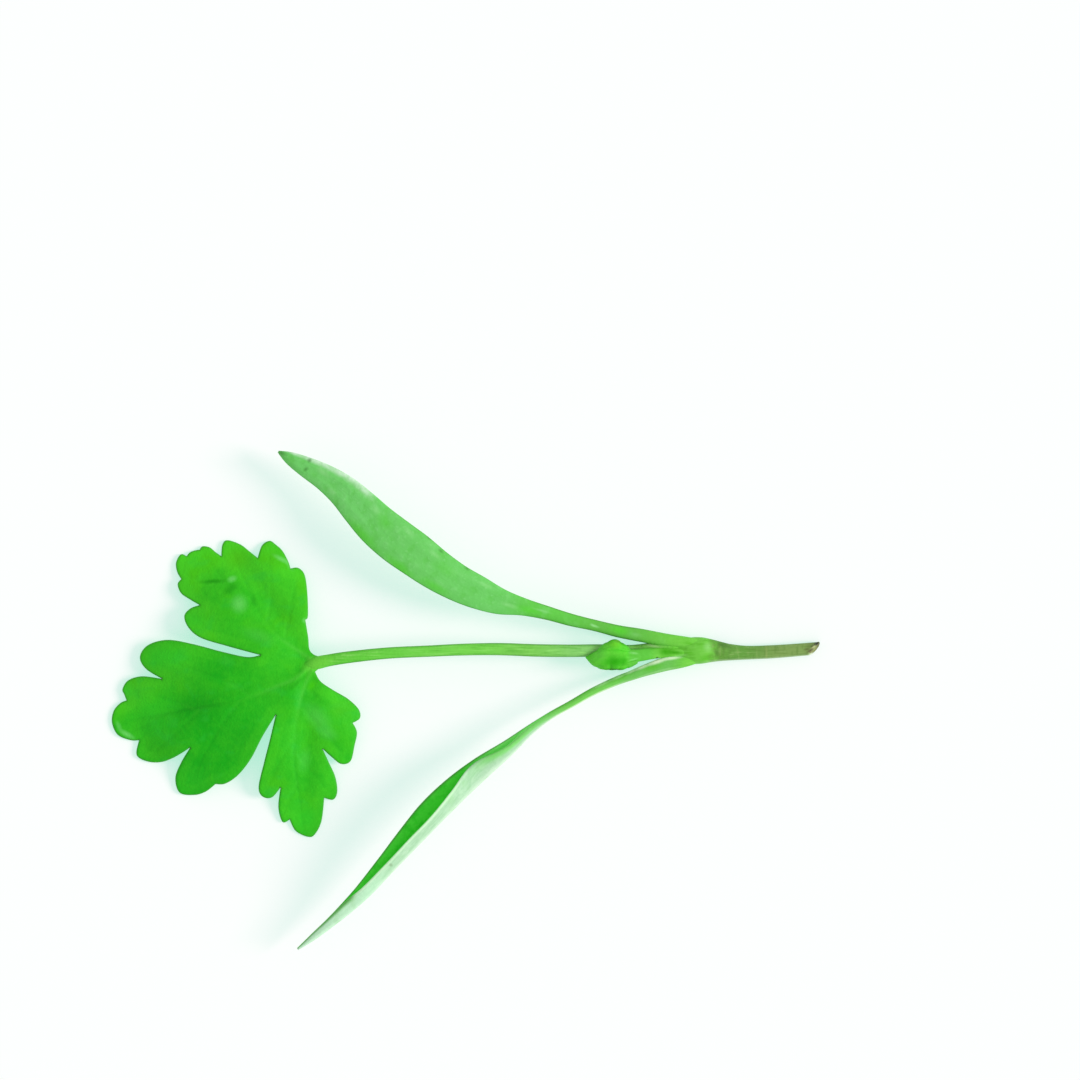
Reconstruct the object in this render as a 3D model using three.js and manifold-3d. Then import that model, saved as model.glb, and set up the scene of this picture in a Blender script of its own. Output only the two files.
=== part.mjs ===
// A coriander microgreen: one cut seedling, lying on a flat surface.
// Millimetres, +Z up. The surface is z = 0, and the origin lies under the middle of the whole seedling.
// +X runs along the seedling to the cut end of its stem, and the leaves reach out towards -X.

import * as THREE from 'three';
import { mergeVertices } from 'three/addons/utils/BufferGeometryUtils.js';
import Module from 'manifold-3d';

const wasm = await Module();
wasm.setup();

// Driving dimensions
const BLADE_THICKNESS = 0.6;
const CLEARANCE = 0.05;        // gap between neighbouring pieces
const STEM_FLAT = 0.05;        // how far the round underside of the stem is pressed flat
const THINNEST = 0.02;         // least half width and half thickness of a tip

// How finely the shapes are cut into flat faces
const RING_SIDES = 14;
const RING_STEP = 0.9;         // spacing of the cross sections along a stalk or blade
const LEAFLET_STEP = 0.5;      // the same for the small folded leaflets
const FEWEST_STEPS = 4;
const OUTLINE_STEP = 0.75;     // spacing of the points on the toothed edge
const FEWEST_EDGE_POINTS = 3;
const BLADE_GRID = 1.05;       // spacing of the true leaf's surface grid
const GRID_MARGIN = 0.37;      // how far that grid reaches past the blade's outline
const MERGE_DISTANCE = 1e-4;
const TANGENT_SHARE = 1e-3;    // share of a curve's length over which its direction is read

// Cross sections
const STALK_ROUND = 2;         // exponent of a round one
const BLADE_ROUND = 3;         // exponent of a flat one with rounded margins
const FOLD_THICK_ROUND = 2;    // exponent of a folded half that is about as thick as long
const FOLD_THIN_ROUND = 5;     // exponent of a folded half that is a thin blade
const FOLD_THIN_RATIO = 1.2;   // length over thickness from which a folded half is a thin blade
const FOLD_CROTCH_SHARE = 0.4; // the deepest that the crotch of the fold may lie, as a share of a half
const FOLD_OPENING = 0.015;    // least distance of a folded half's inside from the middle of the fold
const OUTER_PARTS = [0.9, 0.6, 0.3, 0];
const INNER_PARTS = [0.92, 0.72, 0.5];

// The true leaf's blade is a low dome over this point, and its lobe tips lie on the surface.
const DOME_X = -17.5;
const DOME_Y = 1.5;
const DOME_RADIUS = 11.4;
const DOME_RISE = 2.3;
const VEIN_CHANNEL_DEPTH = 0.28;
const VEIN_CHANNEL_WIDTH = 1.1;
const WAVE_HEIGHT = 0.12;
const WAVE_LENGTH = 7.5;

// The stem is cut through at a slant, and the cut face looks up and away from the leaves.
const CUT_POINT = new THREE.Vector3(29.55, 4.2, 0.5);
const CUT_NORMAL = new THREE.Vector3(0.74, -0.5, 0.45).normalize();
const CUT_BLOCK = 4;

// Stem and crown, from the crown's inner end to the cut: x, y, half width, half height
const STEM = [
  [18.1, 4.12, 0.5, 0.5],
  [18.6, 4.13, 0.95, 0.78],
  [19.3, 4.14, 1.2, 0.9],
  [20.1, 4.17, 1.15, 0.93],
  [20.8, 4.15, 1.02, 0.9],
  [21.5, 4.07, 0.86, 0.8],
  [22.5, 3.99, 0.7, 0.68],
  [24.0, 3.95, 0.58, 0.58],
  [26.0, 4.02, 0.56, 0.56],
  [28.0, 4.16, 0.54, 0.54],
  [30.6, 4.38, 0.52, 0.52],
];

// Upper seed leaf, from the crown to its tip: x, y, z, half width, half thickness, arch, roll in degrees
const UPPER_SEED_LEAF = [
  [19.5, 4.72, 1.1, 0.48, 0.48, 0, 0],
  [17.0, 5.05, 1.22, 0.54, 0.5, 0, 0],
  [15.0, 5.42, 1.4, 0.56, 0.48, 0, 0],
  [13.0, 5.78, 1.62, 0.52, 0.45, 0, 0],
  [11.0, 6.28, 1.88, 0.48, 0.42, 0, 0],
  [9.0, 6.75, 2.18, 0.53, 0.4, 0, 0],
  [6.95, 7.35, 2.5, 0.59, 0.38, 0.02, 2],
  [4.9, 7.88, 2.8, 0.76, 0.35, 0.08, 4],
  [2.9, 8.36, 3.05, 1.13, 0.32, 0.2, 6],
  [1.1, 9.1, 3.24, 1.42, 0.31, 0.28, 6],
  [-0.65, 9.93, 3.38, 1.57, 0.3, 0.32, 5],
  [-2.45, 11.03, 3.5, 1.73, 0.3, 0.36, 4],
  [-4.25, 12.35, 3.56, 1.87, 0.3, 0.38, 2],
  [-5.85, 13.5, 3.54, 1.89, 0.3, 0.38, 0],
  [-7.4, 14.78, 3.46, 1.8, 0.3, 0.36, -3],
  [-8.75, 16.15, 3.35, 1.64, 0.3, 0.34, -7],
  [-10.2, 17.6, 3.18, 1.4, 0.3, 0.3, -11],
  [-11.75, 18.75, 2.98, 1.14, 0.3, 0.24, -14],
  [-13.4, 19.68, 2.74, 0.88, 0.3, 0.16, -14],
  [-14.8, 20.45, 2.52, 0.55, 0.28, 0.06, -10],
  [-15.75, 20.98, 2.35, 0.1, 0.12, 0, 0],
];

// Lower seed leaf, folded along its midrib. The fold is its outer edge, and both halves lean inwards from it.
// From the crown to the tip: outer edge x, y, fold height z, half thickness,
// length and elevation of the lower half, length and elevation of the upper half
const LOWER_SEED_LEAF = [
  [19.5, 2.88, 1.05, 0.48, 0.48, -20, 0.48, 60],
  [17.4, 2.45, 1.15, 0.48, 0.48, -20, 0.48, 60],
  [15.2, 1.92, 1.32, 0.44, 0.44, -20, 0.44, 60],
  [13.0, 1.22, 1.55, 0.38, 0.38, -18, 0.38, 60],
  [11.0, 0.36, 1.8, 0.34, 0.34, -14, 0.34, 60],
  [9.2, -0.62, 2.04, 0.31, 0.31, -8, 0.31, 60],
  [7.5, -1.56, 2.24, 0.3, 0.32, -2, 0.34, 60],
  [5.9, -2.78, 2.42, 0.3, 0.53, 4, 0.6, 58],
  [4.0, -4.68, 2.6, 0.3, 1.12, 8, 1.1, 50],
  [2.0, -6.5, 2.75, 0.3, 1.66, 8, 1.68, 28],
  [0.0, -8.4, 2.84, 0.3, 2.0, 8, 1.95, 54],
  [-2.0, -10.4, 2.88, 0.3, 2.08, 8, 2.05, 66],
  [-4.0, -12.45, 2.84, 0.3, 1.8, 8, 1.85, 64],
  [-6.0, -14.5, 2.74, 0.3, 1.42, 8, 1.5, 60],
  [-8.0, -16.6, 2.58, 0.3, 1.12, 8, 1.2, 48],
  [-9.6, -18.0, 2.42, 0.29, 0.84, 6, 0.9, 26],
  [-11.2, -19.25, 2.28, 0.28, 0.54, 4, 0.56, 16],
  [-12.7, -20.35, 2.14, 0.24, 0.3, 0, 0.34, 12],
  [-14.1, -21.2, 2.0, 0.1, 0.1, -10, 0.1, 40],
];

// Stalk of the true leaf, from the crown into the blade: x, y, z, half width, half thickness
const TRUE_LEAF_STALK = [
  [19.3, 4.05, 0.72, 0.38, 0.36],
  [17.5, 4.02, 0.75, 0.4, 0.36],
  [16.0, 4.05, 0.88, 0.45, 0.4],
  [14.0, 4.12, 1.15, 0.5, 0.45],
  [11.5, 4.16, 1.5, 0.52, 0.48],
  [9.0, 4.13, 1.82, 0.53, 0.48],
  [6.0, 4.17, 2.16, 0.53, 0.48],
  [3.0, 4.28, 2.42, 0.52, 0.47],
  [0.0, 4.25, 2.58, 0.5, 0.46],
  [-3.0, 4.12, 2.64, 0.48, 0.45],
  [-6.5, 3.92, 2.6, 0.46, 0.44],
  [-9.8, 3.55, 2.46, 0.46, 0.43],
  [-12.2, 3.2, 2.28, 0.48, 0.42],
  [-13.6, 2.75, 2.18, 0.42, 0.4],
  [-15.2, 2.15, 2.16, 0.28, 0.36],
  [-17.0, 1.5, 2.2, 0.12, 0.3],
];

// Small folded leaf: its stalk, then its three leaflets: x, y, z, half width, half thickness
const FOLDED_LEAF_STALK = [
  [18.8, 4.02, 1.3, 0.24, 0.24],
  [17.2, 3.98, 1.42, 0.28, 0.26],
  [16.0, 3.9, 1.62, 0.38, 0.3],
  [15.0, 3.8, 1.84, 0.52, 0.36],
  [14.0, 3.7, 2.06, 0.66, 0.42],
  [13.2, 3.7, 2.2, 0.6, 0.4],
];
const FOLDED_LEAFLETS = [
  [
    [14.4, 3.7, 2.05, 0.4, 0.36],
    [13.4, 3.7, 2.38, 0.86, 0.42],
    [12.3, 3.68, 2.54, 1.06, 0.44],
    [11.2, 3.62, 2.46, 0.74, 0.4],
    [10.25, 3.58, 2.22, 0.1, 0.16],
  ],
  [
    [14.2, 3.95, 1.98, 0.3, 0.28],
    [13.4, 4.2, 2.22, 0.6, 0.34],
    [12.7, 4.34, 2.32, 0.76, 0.36],
    [11.9, 4.28, 2.28, 0.54, 0.32],
    [11.2, 4.16, 2.14, 0.1, 0.14],
  ],
  [
    [14.5, 3.35, 1.95, 0.24, 0.3],
    [13.4, 3.04, 2.1, 0.56, 0.4],
    [12.3, 2.96, 2.12, 0.54, 0.4],
    [11.5, 2.86, 2.04, 0.32, 0.28],
    [11.0, 2.95, 1.96, 0.08, 0.12],
  ],
];

// Toothed edge of the true leaf, once round: each row is one smooth stretch that ends in a sharp notch.
const LEAF_BASE = [-12.7, 3.75];
const UPPER_LEAFLET_EDGE = [
  [[-13.15, 4.15], [-13.25, 5.4], [-13.5, 6.75]],
  [[-13.3, 7.2], [-13.35, 9.0], [-13.6, 10.55], [-14.15, 11.12], [-14.8, 11.1]],
  [[-15.0, 12.0], [-15.7, 12.9], [-16.6, 13.45], [-17.3, 12.9], [-17.6, 12.0]],
  [[-18.4, 12.65], [-19.3, 13.25], [-20.2, 13.45], [-20.65, 12.9], [-20.7, 12.15]],
  [[-21.3, 12.55], [-22.1, 13.0], [-22.55, 12.7]],
  [[-23.0, 12.55], [-23.65, 12.15]],
  [[-24.15, 12.3], [-24.55, 11.6], [-24.45, 10.8], [-24.1, 10.2]],
  [[-24.4, 9.75], [-24.1, 9.0], [-23.3, 8.45], [-22.5, 8.0]],
  [[-23.3, 7.7], [-23.8, 7.05], [-23.4, 6.05], [-22.3, 5.2], [-20.0, 4.5], [-17.3, 3.78]],
];
const MIDDLE_LEAFLET_EDGE = [
  [[-18.4, 3.62], [-20.5, 4.05], [-23.0, 4.7], [-25.2, 5.05], [-26.9, 4.6], [-27.6, 3.6], [-27.1, 2.6],
    [-25.7, 1.75]],
  [[-27.4, 1.9], [-28.6, 1.5], [-29.05, 0.75], [-28.75, -0.15]],
  [[-29.6, -0.75], [-30.0, -2.0], [-29.4, -3.15], [-28.3, -3.55], [-27.7, -3.5]],
  [[-27.85, -4.7], [-27.0, -5.3], [-25.8, -5.35], [-24.6, -4.8], [-23.3, -4.1]],
  [[-24.1, -5.4], [-24.65, -6.7], [-24.25, -7.95], [-23.0, -8.15], [-22.0, -7.85], [-21.15, -7.2]],
  [[-20.3, -7.2], [-19.2, -6.4], [-18.1, -5.0], [-17.1, -3.1], [-16.0, -1.3]],
];
const LOWER_LEAFLET_EDGE = [
  [[-16.7, -3.4], [-17.1, -5.3], [-17.55, -7.4], [-17.0, -8.4], [-16.2, -8.15], [-15.75, -7.5]],
  [[-15.9, -9.2], [-15.5, -10.4], [-14.9, -10.25]],
  [[-14.5, -11.1], [-13.6, -11.7], [-12.8, -11.4], [-12.25, -10.2], [-12.05, -8.4]],
  [[-11.4, -8.55], [-10.9, -7.9], [-10.95, -6.6], [-11.5, -5.2], [-11.95, -4.2]],
  [[-11.3, -4.8], [-10.5, -5.55], [-9.7, -5.2], [-9.25, -3.9], [-9.15, -2.8], [-9.5, -2.0]],
  [[-8.9, -1.6], [-9.0, -0.85], [-9.8, -0.1], [-11.2, 0.75], [-12.2, 1.5], [-12.6, 2.4]],
];

// Main veins of the three leaflets, from the leaf's base to their tips
const VEINS = [
  [[-13.2, 3.0], [-19.6, 12.6]],
  [[-13.2, 3.0], [-29.2, -1.9]],
  [[-13.2, 3.0], [-13.7, -10.8]],
];

// Colours as the eye sees them
const STEM_COLOUR = 0x7c9a50;
const UPPER_SEED_LEAF_COLOUR = 0x6ccb68;
const LOWER_SEED_LEAF_COLOUR = 0x7fcf78;
const TRUE_LEAF_COLOUR = 0x2fae20;
const FOLDED_LEAF_COLOUR = 0x45c41f;
const MATTE = 0.65;
const SOFT_GLOSS = 0.5;

const UP = new THREE.Vector3(0, 0, 1);

// Solids

function solidFrom(positions, triangles) {
  const mesh = new wasm.Mesh({
    numProp: 3,
    vertProperties: new Float32Array(positions),
    triVerts: new Uint32Array(triangles),
  });
  return new wasm.Manifold(mesh);
}

function solidFromGeometry(geometry) {
  geometry.deleteAttribute('normal');
  geometry.deleteAttribute('uv');
  const merged = mergeVertices(geometry, MERGE_DISTANCE);
  return solidFrom(merged.attributes.position.array, merged.index.array);
}

function meshFrom(solid, name, colour, roughness) {
  const { vertProperties, triVerts } = solid.getMesh();
  const geometry = new THREE.BufferGeometry();
  geometry.setAttribute('position', new THREE.BufferAttribute(new Float32Array(vertProperties), 3));
  geometry.setIndex(new THREE.BufferAttribute(new Uint32Array(triVerts), 1));
  geometry.computeVertexNormals();
  const material = new THREE.MeshStandardMaterial({ color: colour, roughness, metalness: 0 });
  const mesh = new THREE.Mesh(geometry, material);
  mesh.name = name;
  return mesh;
}

// A closed body through a list of rings with the same number of points, with a flat cap at each end.
function loft(rings) {
  const sides = rings[0].length;
  const positions = rings.flat().flatMap((point) => point.toArray());
  const triangles = [];
  for (let ring = 0; ring < rings.length - 1; ring += 1) {
    for (let side = 0; side < sides; side += 1) {
      const next = (side + 1) % sides;
      const a = ring * sides + side;
      const b = ring * sides + next;
      triangles.push(a, b, b + sides, a, b + sides, a + sides);
    }
  }
  for (const [ring, inwards] of [[0, true], [rings.length - 1, false]]) {
    const centre = positions.length / 3;
    const middle = rings[ring].reduce((sum, point) => sum.add(point), new THREE.Vector3());
    positions.push(...middle.divideScalar(sides).toArray());
    for (let side = 0; side < sides; side += 1) {
      const a = ring * sides + side;
      const b = ring * sides + (side + 1) % sides;
      triangles.push(...(inwards ? [centre, b, a] : [centre, a, b]));
    }
  }
  return solidFrom(positions, triangles);
}

// Stations are rows of numbers that start with x, y and z. They are joined by a smooth curve and read at
// even steps along it. Each reading comes with the direction of the curve.
function readStations(stations, step) {
  const distances = [0];
  for (let i = 1; i < stations.length; i += 1) {
    const [x0, y0, z0] = stations[i - 1];
    const [x1, y1, z1] = stations[i];
    distances.push(distances[i - 1] + Math.hypot(x1 - x0, y1 - y0, z1 - z0));
  }
  const curve = new THREE.CubicInterpolant(distances, stations.flat(), stations[0].length);
  const length = distances.at(-1);
  const count = Math.max(FEWEST_STEPS, Math.round(length / step));
  const small = length * TANGENT_SHARE;
  const readings = [];
  for (let i = 0; i <= count; i += 1) {
    const at = (length * i) / count;
    const [xa, ya, za] = curve.evaluate(Math.max(0, at - small));
    const [xb, yb, zb] = curve.evaluate(Math.min(length, at + small));
    const direction = new THREE.Vector3(xb - xa, yb - ya, zb - za).normalize();
    readings.push({ values: [...curve.evaluate(at)], direction });
  }
  return readings;
}

// A signed power keeps the quadrant of a rounded rectangle's corner.
function signedPower(value, exponent) {
  return Math.sign(value) * Math.abs(value) ** exponent;
}

// A stalk or a plain blade. The section is an ellipse, squarer as the exponent grows, that can be arched
// across and rolled about its length. grow makes it larger all round.
function ribbon(stations, { exponent = STALK_ROUND, grow = 0, step = RING_STEP } = {}) {
  const rings = readStations(stations, step).map(({ values, direction }) => {
    const [x, y, z, halfWidth, halfThickness, arch = 0, roll = 0] = values;
    const across = new THREE.Vector3().crossVectors(UP, direction).normalize();
    const upwards = new THREE.Vector3().crossVectors(direction, across).normalize();
    across.applyAxisAngle(direction, THREE.MathUtils.degToRad(roll));
    upwards.applyAxisAngle(direction, THREE.MathUtils.degToRad(roll));
    return Array.from({ length: RING_SIDES }, (_, side) => {
      const angle = (2 * Math.PI * side) / RING_SIDES;
      const u = signedPower(Math.cos(angle), 2 / exponent);
      const v = signedPower(Math.sin(angle), 2 / exponent);
      const point = new THREE.Vector3(x, y, z);
      const sideways = (Math.max(THINNEST, halfWidth) + grow) * u;
      const height = (Math.max(THINNEST, halfThickness) + grow) * v;
      point.addScaledVector(across, sideways);
      point.addScaledVector(upwards, height + arch * (0.5 - u * u));
      return point;
    });
  });
  return loft(rings);
}

// Stem and crown: they lie on the surface, so the underside is flat where it would pass below it.
function stemSolid(grow = 0) {
  const stations = STEM.map(([x, y, halfWidth, halfHeight]) => [
    x, y, halfHeight - STEM_FLAT, halfWidth, halfHeight,
  ]);
  const rings = readStations(stations, RING_STEP).map(({ values }) => {
    const [x, y, z, halfWidth, halfHeight] = values;
    return Array.from({ length: RING_SIDES }, (_, side) => {
      const angle = (2 * Math.PI * side) / RING_SIDES;
      const height = z + (halfHeight + grow) * Math.sin(angle);
      return new THREE.Vector3(x, y + (halfWidth + grow) * Math.cos(angle), Math.max(-grow, height));
    });
  });
  return loft(rings);
}

function cutBlock() {
  const block = new THREE.BoxGeometry(CUT_BLOCK, CUT_BLOCK, CUT_BLOCK);
  block.applyQuaternion(new THREE.Quaternion().setFromUnitVectors(UP, CUT_NORMAL));
  const centre = CUT_POINT.clone().addScaledVector(CUT_NORMAL, CUT_BLOCK / 2);
  block.translate(centre.x, centre.y, centre.z);
  return solidFromGeometry(block);
}

// One section of the folded seed leaf, in the plane of p, inwards from the fold, and q, upwards.
function foldedSection(half, lowerLength, lowerAngle, upperLength, upperAngle) {
  const lower = THREE.MathUtils.degToRad(lowerAngle);
  const upper = THREE.MathUtils.degToRad(upperAngle);
  const bisector = (lower + upper) / 2;
  const thin = lowerLength > FOLD_THIN_RATIO * half;
  const squareness = thin ? FOLD_THIN_ROUND : FOLD_THICK_ROUND;
  const thicknessAt = (part) => half * Math.sqrt(1 - part ** squareness);
  const along = (angle, length, side, offset) => [
    Math.cos(angle) * length - Math.sin(angle) * side * offset,
    Math.sin(angle) * length + Math.cos(angle) * side * offset,
  ];
  // An inside point stays on its own half's side of the bisector.
  const inside = (angle, length, side, part) => {
    const [p, q] = along(angle, length * part, side, thicknessAt(part));
    const forwards = p * Math.cos(bisector) + q * Math.sin(bisector);
    const sideways = (q * Math.cos(bisector) - p * Math.sin(bisector)) * -side;
    const kept = Math.max(sideways, FOLD_OPENING) * -side;
    return [
      forwards * Math.cos(bisector) - kept * Math.sin(bisector),
      forwards * Math.sin(bisector) + kept * Math.cos(bisector),
    ];
  };
  const deepest = FOLD_CROTCH_SHARE * Math.min(lowerLength, upperLength);
  const crotch = Math.min(half / Math.sin((upper - lower) / 2), deepest);
  const crotchReach = Math.max(crotch, thin ? 0 : half);
  return [
    along(upper, upperLength, 1, 0),
    ...OUTER_PARTS.map((part) => along(upper, upperLength * part, 1, thicknessAt(part))),
    along(bisector + Math.PI, half, 1, 0),
    ...OUTER_PARTS.toReversed().map((part) => along(lower, lowerLength * part, -1, thicknessAt(part))),
    along(lower, lowerLength, 1, 0),
    ...INNER_PARTS.map((part) => inside(lower, lowerLength, 1, part)),
    along(bisector, crotchReach, 1, 0),
    ...INNER_PARTS.toReversed().map((part) => inside(upper, upperLength, -1, part)),
  ];
}

function foldedBlade(stations, grow = 0) {
  const rings = readStations(stations, RING_STEP).map(({ values, direction }) => {
    const [x, y, z, half, lowerLength, lowerAngle, upperLength, upperAngle] = values;
    const inwards = new THREE.Vector3(direction.y, -direction.x, 0).normalize();
    const fold = new THREE.Vector3(x, y, z).addScaledVector(inwards, half);
    const section = foldedSection(
      half + grow, lowerLength + grow, lowerAngle, upperLength + grow, upperAngle,
    );
    const ring = section.map(([p, q]) => fold.clone().addScaledVector(inwards, p).addScaledVector(UP, q));
    return ring.reverse();
  });
  return loft(rings);
}

// The true leaf's blade: a domed sheet of even thickness, cut to the toothed outline.

function distanceToVein(x, y, [[x0, y0], [x1, y1]]) {
  const vein = new THREE.Line3(new THREE.Vector3(x0, y0, 0), new THREE.Vector3(x1, y1, 0));
  const point = new THREE.Vector3(x, y, 0);
  return vein.closestPointToPoint(point, true, new THREE.Vector3()).distanceTo(point);
}

// Height of the middle of the sheet. Where a lobe tip reaches the surface, it lies flat on it.
function leafHeight(x, y) {
  const reach = Math.hypot(x - DOME_X, y - DOME_Y) / DOME_RADIUS;
  const nearestVein = Math.min(...VEINS.map((vein) => distanceToVein(x, y, vein)));
  const channel = VEIN_CHANNEL_DEPTH * Math.exp(-((nearestVein / VEIN_CHANNEL_WIDTH) ** 2));
  const turn = (2 * Math.PI) / WAVE_LENGTH;
  const wave = WAVE_HEIGHT * Math.sin(x * turn) * Math.cos(y * turn);
  return BLADE_THICKNESS / 2 + Math.max(0, DOME_RISE * (1 - reach ** 2) - channel + wave);
}

function domedSheet(low, high) {
  const columns = Math.ceil((high.x - low.x) / BLADE_GRID);
  const rows = Math.ceil((high.y - low.y) / BLADE_GRID);
  const width = columns + 1;
  const layer = width * (rows + 1);
  const positions = [];
  for (const side of [1, -1]) {
    for (let row = 0; row <= rows; row += 1) {
      for (let column = 0; column <= columns; column += 1) {
        const x = low.x + column * BLADE_GRID;
        const y = low.y + row * BLADE_GRID;
        positions.push(x, y, leafHeight(x, y) + (side * BLADE_THICKNESS) / 2);
      }
    }
  }
  const triangles = [];
  for (let row = 0; row < rows; row += 1) {
    for (let column = 0; column < columns; column += 1) {
      const a = row * width + column;
      const [b, c, d] = [a + 1, a + width, a + width + 1];
      triangles.push(a, b, d, a, d, c);
      triangles.push(layer + a, layer + d, layer + b, layer + a, layer + c, layer + d);
    }
  }
  const rim = [];
  for (let column = 0; column < columns; column += 1) rim.push(column);
  for (let row = 0; row < rows; row += 1) rim.push(row * width + columns);
  for (let column = columns; column > 0; column -= 1) rim.push(rows * width + column);
  for (let row = rows; row > 0; row -= 1) rim.push(row * width);
  rim.forEach((a, index) => {
    const b = rim[(index + 1) % rim.length];
    triangles.push(a, layer + a, layer + b, a, layer + b, b);
  });
  return solidFrom(positions, triangles);
}

function leafOutline() {
  const shape = new THREE.Shape();
  shape.moveTo(...LEAF_BASE);
  for (const stretch of [...UPPER_LEAFLET_EDGE, ...MIDDLE_LEAFLET_EDGE, ...LOWER_LEAFLET_EDGE]) {
    const points = stretch.map(([x, y]) => new THREE.Vector2(x, y));
    const from = shape.currentPoint.clone();
    const curve = new THREE.SplineCurve([from, ...points]);
    const pieces = Math.max(FEWEST_EDGE_POINTS, Math.round(curve.getLength() / OUTLINE_STEP));
    curve.getSpacedPoints(pieces).slice(1).forEach((point) => shape.lineTo(point.x, point.y));
  }
  return shape;
}

function leafBlade() {
  const shape = leafOutline();
  const box = new THREE.Box2().setFromPoints(shape.getPoints());
  const low = box.min.clone().subScalar(GRID_MARGIN);
  const high = box.max.clone().addScalar(GRID_MARGIN);
  const depth = DOME_RISE + WAVE_HEIGHT + 3 * BLADE_THICKNESS;
  const prism = new THREE.ExtrudeGeometry(shape, { depth, bevelEnabled: false });
  prism.translate(0, 0, -BLADE_THICKNESS);
  return domedSheet(low, high).intersect(solidFromGeometry(prism));
}

// The pieces. Each one is kept clear of those before it.

function buildStem() {
  return stemSolid().subtract(cutBlock());
}

function buildUpperSeedLeaf() {
  const blade = ribbon(UPPER_SEED_LEAF, { exponent: BLADE_ROUND });
  return blade.subtract(stemSolid(CLEARANCE));
}

function buildLowerSeedLeaf() {
  return foldedBlade(LOWER_SEED_LEAF).subtract(stemSolid(CLEARANCE));
}

function neighboursOfTheStalks() {
  return stemSolid(CLEARANCE)
    .add(ribbon(UPPER_SEED_LEAF, { exponent: BLADE_ROUND, grow: CLEARANCE }))
    .add(foldedBlade(LOWER_SEED_LEAF, CLEARANCE));
}

function buildTrueLeaf() {
  return leafBlade().add(ribbon(TRUE_LEAF_STALK)).subtract(neighboursOfTheStalks());
}

function buildFoldedLeaf() {
  let leaf = ribbon(FOLDED_LEAF_STALK);
  for (const leaflet of FOLDED_LEAFLETS) leaf = leaf.add(ribbon(leaflet, { step: LEAFLET_STEP }));
  const stalkBelow = ribbon(TRUE_LEAF_STALK, { grow: CLEARANCE });
  return leaf.subtract(neighboursOfTheStalks()).subtract(stalkBelow);
}

const seedling = new THREE.Group();
seedling.add(
  meshFrom(buildStem(), 'hypocotyl', STEM_COLOUR, MATTE),
  meshFrom(buildUpperSeedLeaf(), 'seed_leaf_upper', UPPER_SEED_LEAF_COLOUR, MATTE),
  meshFrom(buildLowerSeedLeaf(), 'seed_leaf_lower', LOWER_SEED_LEAF_COLOUR, MATTE),
  meshFrom(buildTrueLeaf(), 'true_leaf', TRUE_LEAF_COLOUR, SOFT_GLOSS),
  meshFrom(buildFoldedLeaf(), 'folded_leaf', FOLDED_LEAF_COLOUR, SOFT_GLOSS),
);

export default seedling;
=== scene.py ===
"""The looks of one cut coriander seedling that lies on a pale surface.

All tables are in millimetres, in the part's own frame: +Z up, the surface at z = 0, +X along the seedling
to the cut end of its stem. Finished meshes are in metres.
"""

import math

import bpy
import numpy as np
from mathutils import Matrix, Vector
from mathutils.geometry import delaunay_2d_cdt


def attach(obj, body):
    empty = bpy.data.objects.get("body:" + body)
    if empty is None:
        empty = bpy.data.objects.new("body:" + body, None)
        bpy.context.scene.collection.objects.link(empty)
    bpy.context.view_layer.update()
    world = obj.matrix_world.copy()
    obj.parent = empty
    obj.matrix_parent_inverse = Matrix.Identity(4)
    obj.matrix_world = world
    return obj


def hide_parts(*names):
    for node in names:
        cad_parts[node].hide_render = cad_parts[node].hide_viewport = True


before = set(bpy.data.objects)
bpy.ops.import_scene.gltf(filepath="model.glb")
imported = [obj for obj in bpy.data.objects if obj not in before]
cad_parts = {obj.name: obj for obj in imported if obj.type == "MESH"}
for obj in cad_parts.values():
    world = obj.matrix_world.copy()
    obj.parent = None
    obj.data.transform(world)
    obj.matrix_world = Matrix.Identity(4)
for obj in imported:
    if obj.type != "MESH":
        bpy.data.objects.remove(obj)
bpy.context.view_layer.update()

MM = 0.001

# The photograph's frame. The camera looks straight down on it from far away.
MM_PER_PIXEL = 0.085
PHOTO_PIXELS = 1080
ORIGIN_PIXEL = (465, 699)
LENS = 200.0
SENSOR = 36.0

# How finely the pieces are made
RING_STEP = 0.16
FOLDED_RING_STEP = 0.07
STALK_SIDES = 40
BLADE_SIDES = 72
OUTLINE_STEP = 0.12
BLADE_GRID = 0.15
FOLDED_STALK_STEP = 0.1
VEIN_STEP = 0.1
CURVE_STEPS = 24               # points between two knots of a curve in the plane
SECTION_POINTS = 13            # points from the fold to the margin of a folded section
BEND_POINTS = 9                # points round the outside of the fold
SMALLEST = 0.02                # no section is smaller than this

# Stem and crown, from the crown's inner end to the cut: x, y, z, half width, half height
STEM = [
    [16.6, 4.2, 0.95, 0.12, 0.12],
    [17.3, 4.2, 0.82, 0.42, 0.4],
    [17.9, 4.19, 0.77, 0.7, 0.66],
    [18.6, 4.16, 0.77, 0.98, 0.82],
    [19.3, 4.13, 0.84, 1.13, 0.89],
    [20.1, 4.14, 0.87, 1.12, 0.92],
    [20.8, 4.12, 0.85, 1.0, 0.9],
    [21.5, 4.07, 0.75, 0.86, 0.8],
    [22.5, 3.99, 0.63, 0.7, 0.68],
    [24.0, 3.95, 0.53, 0.58, 0.58],
    [26.0, 4.02, 0.51, 0.56, 0.56],
    [28.0, 4.16, 0.49, 0.54, 0.54],
    [30.6, 4.38, 0.47, 0.52, 0.52],
]
CUT_POINT = np.array([29.55, 4.2, 0.5])
CUT_NORMAL = np.array([0.74, -0.5, 0.45])
CUT_HOLLOW = 0.1

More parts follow.
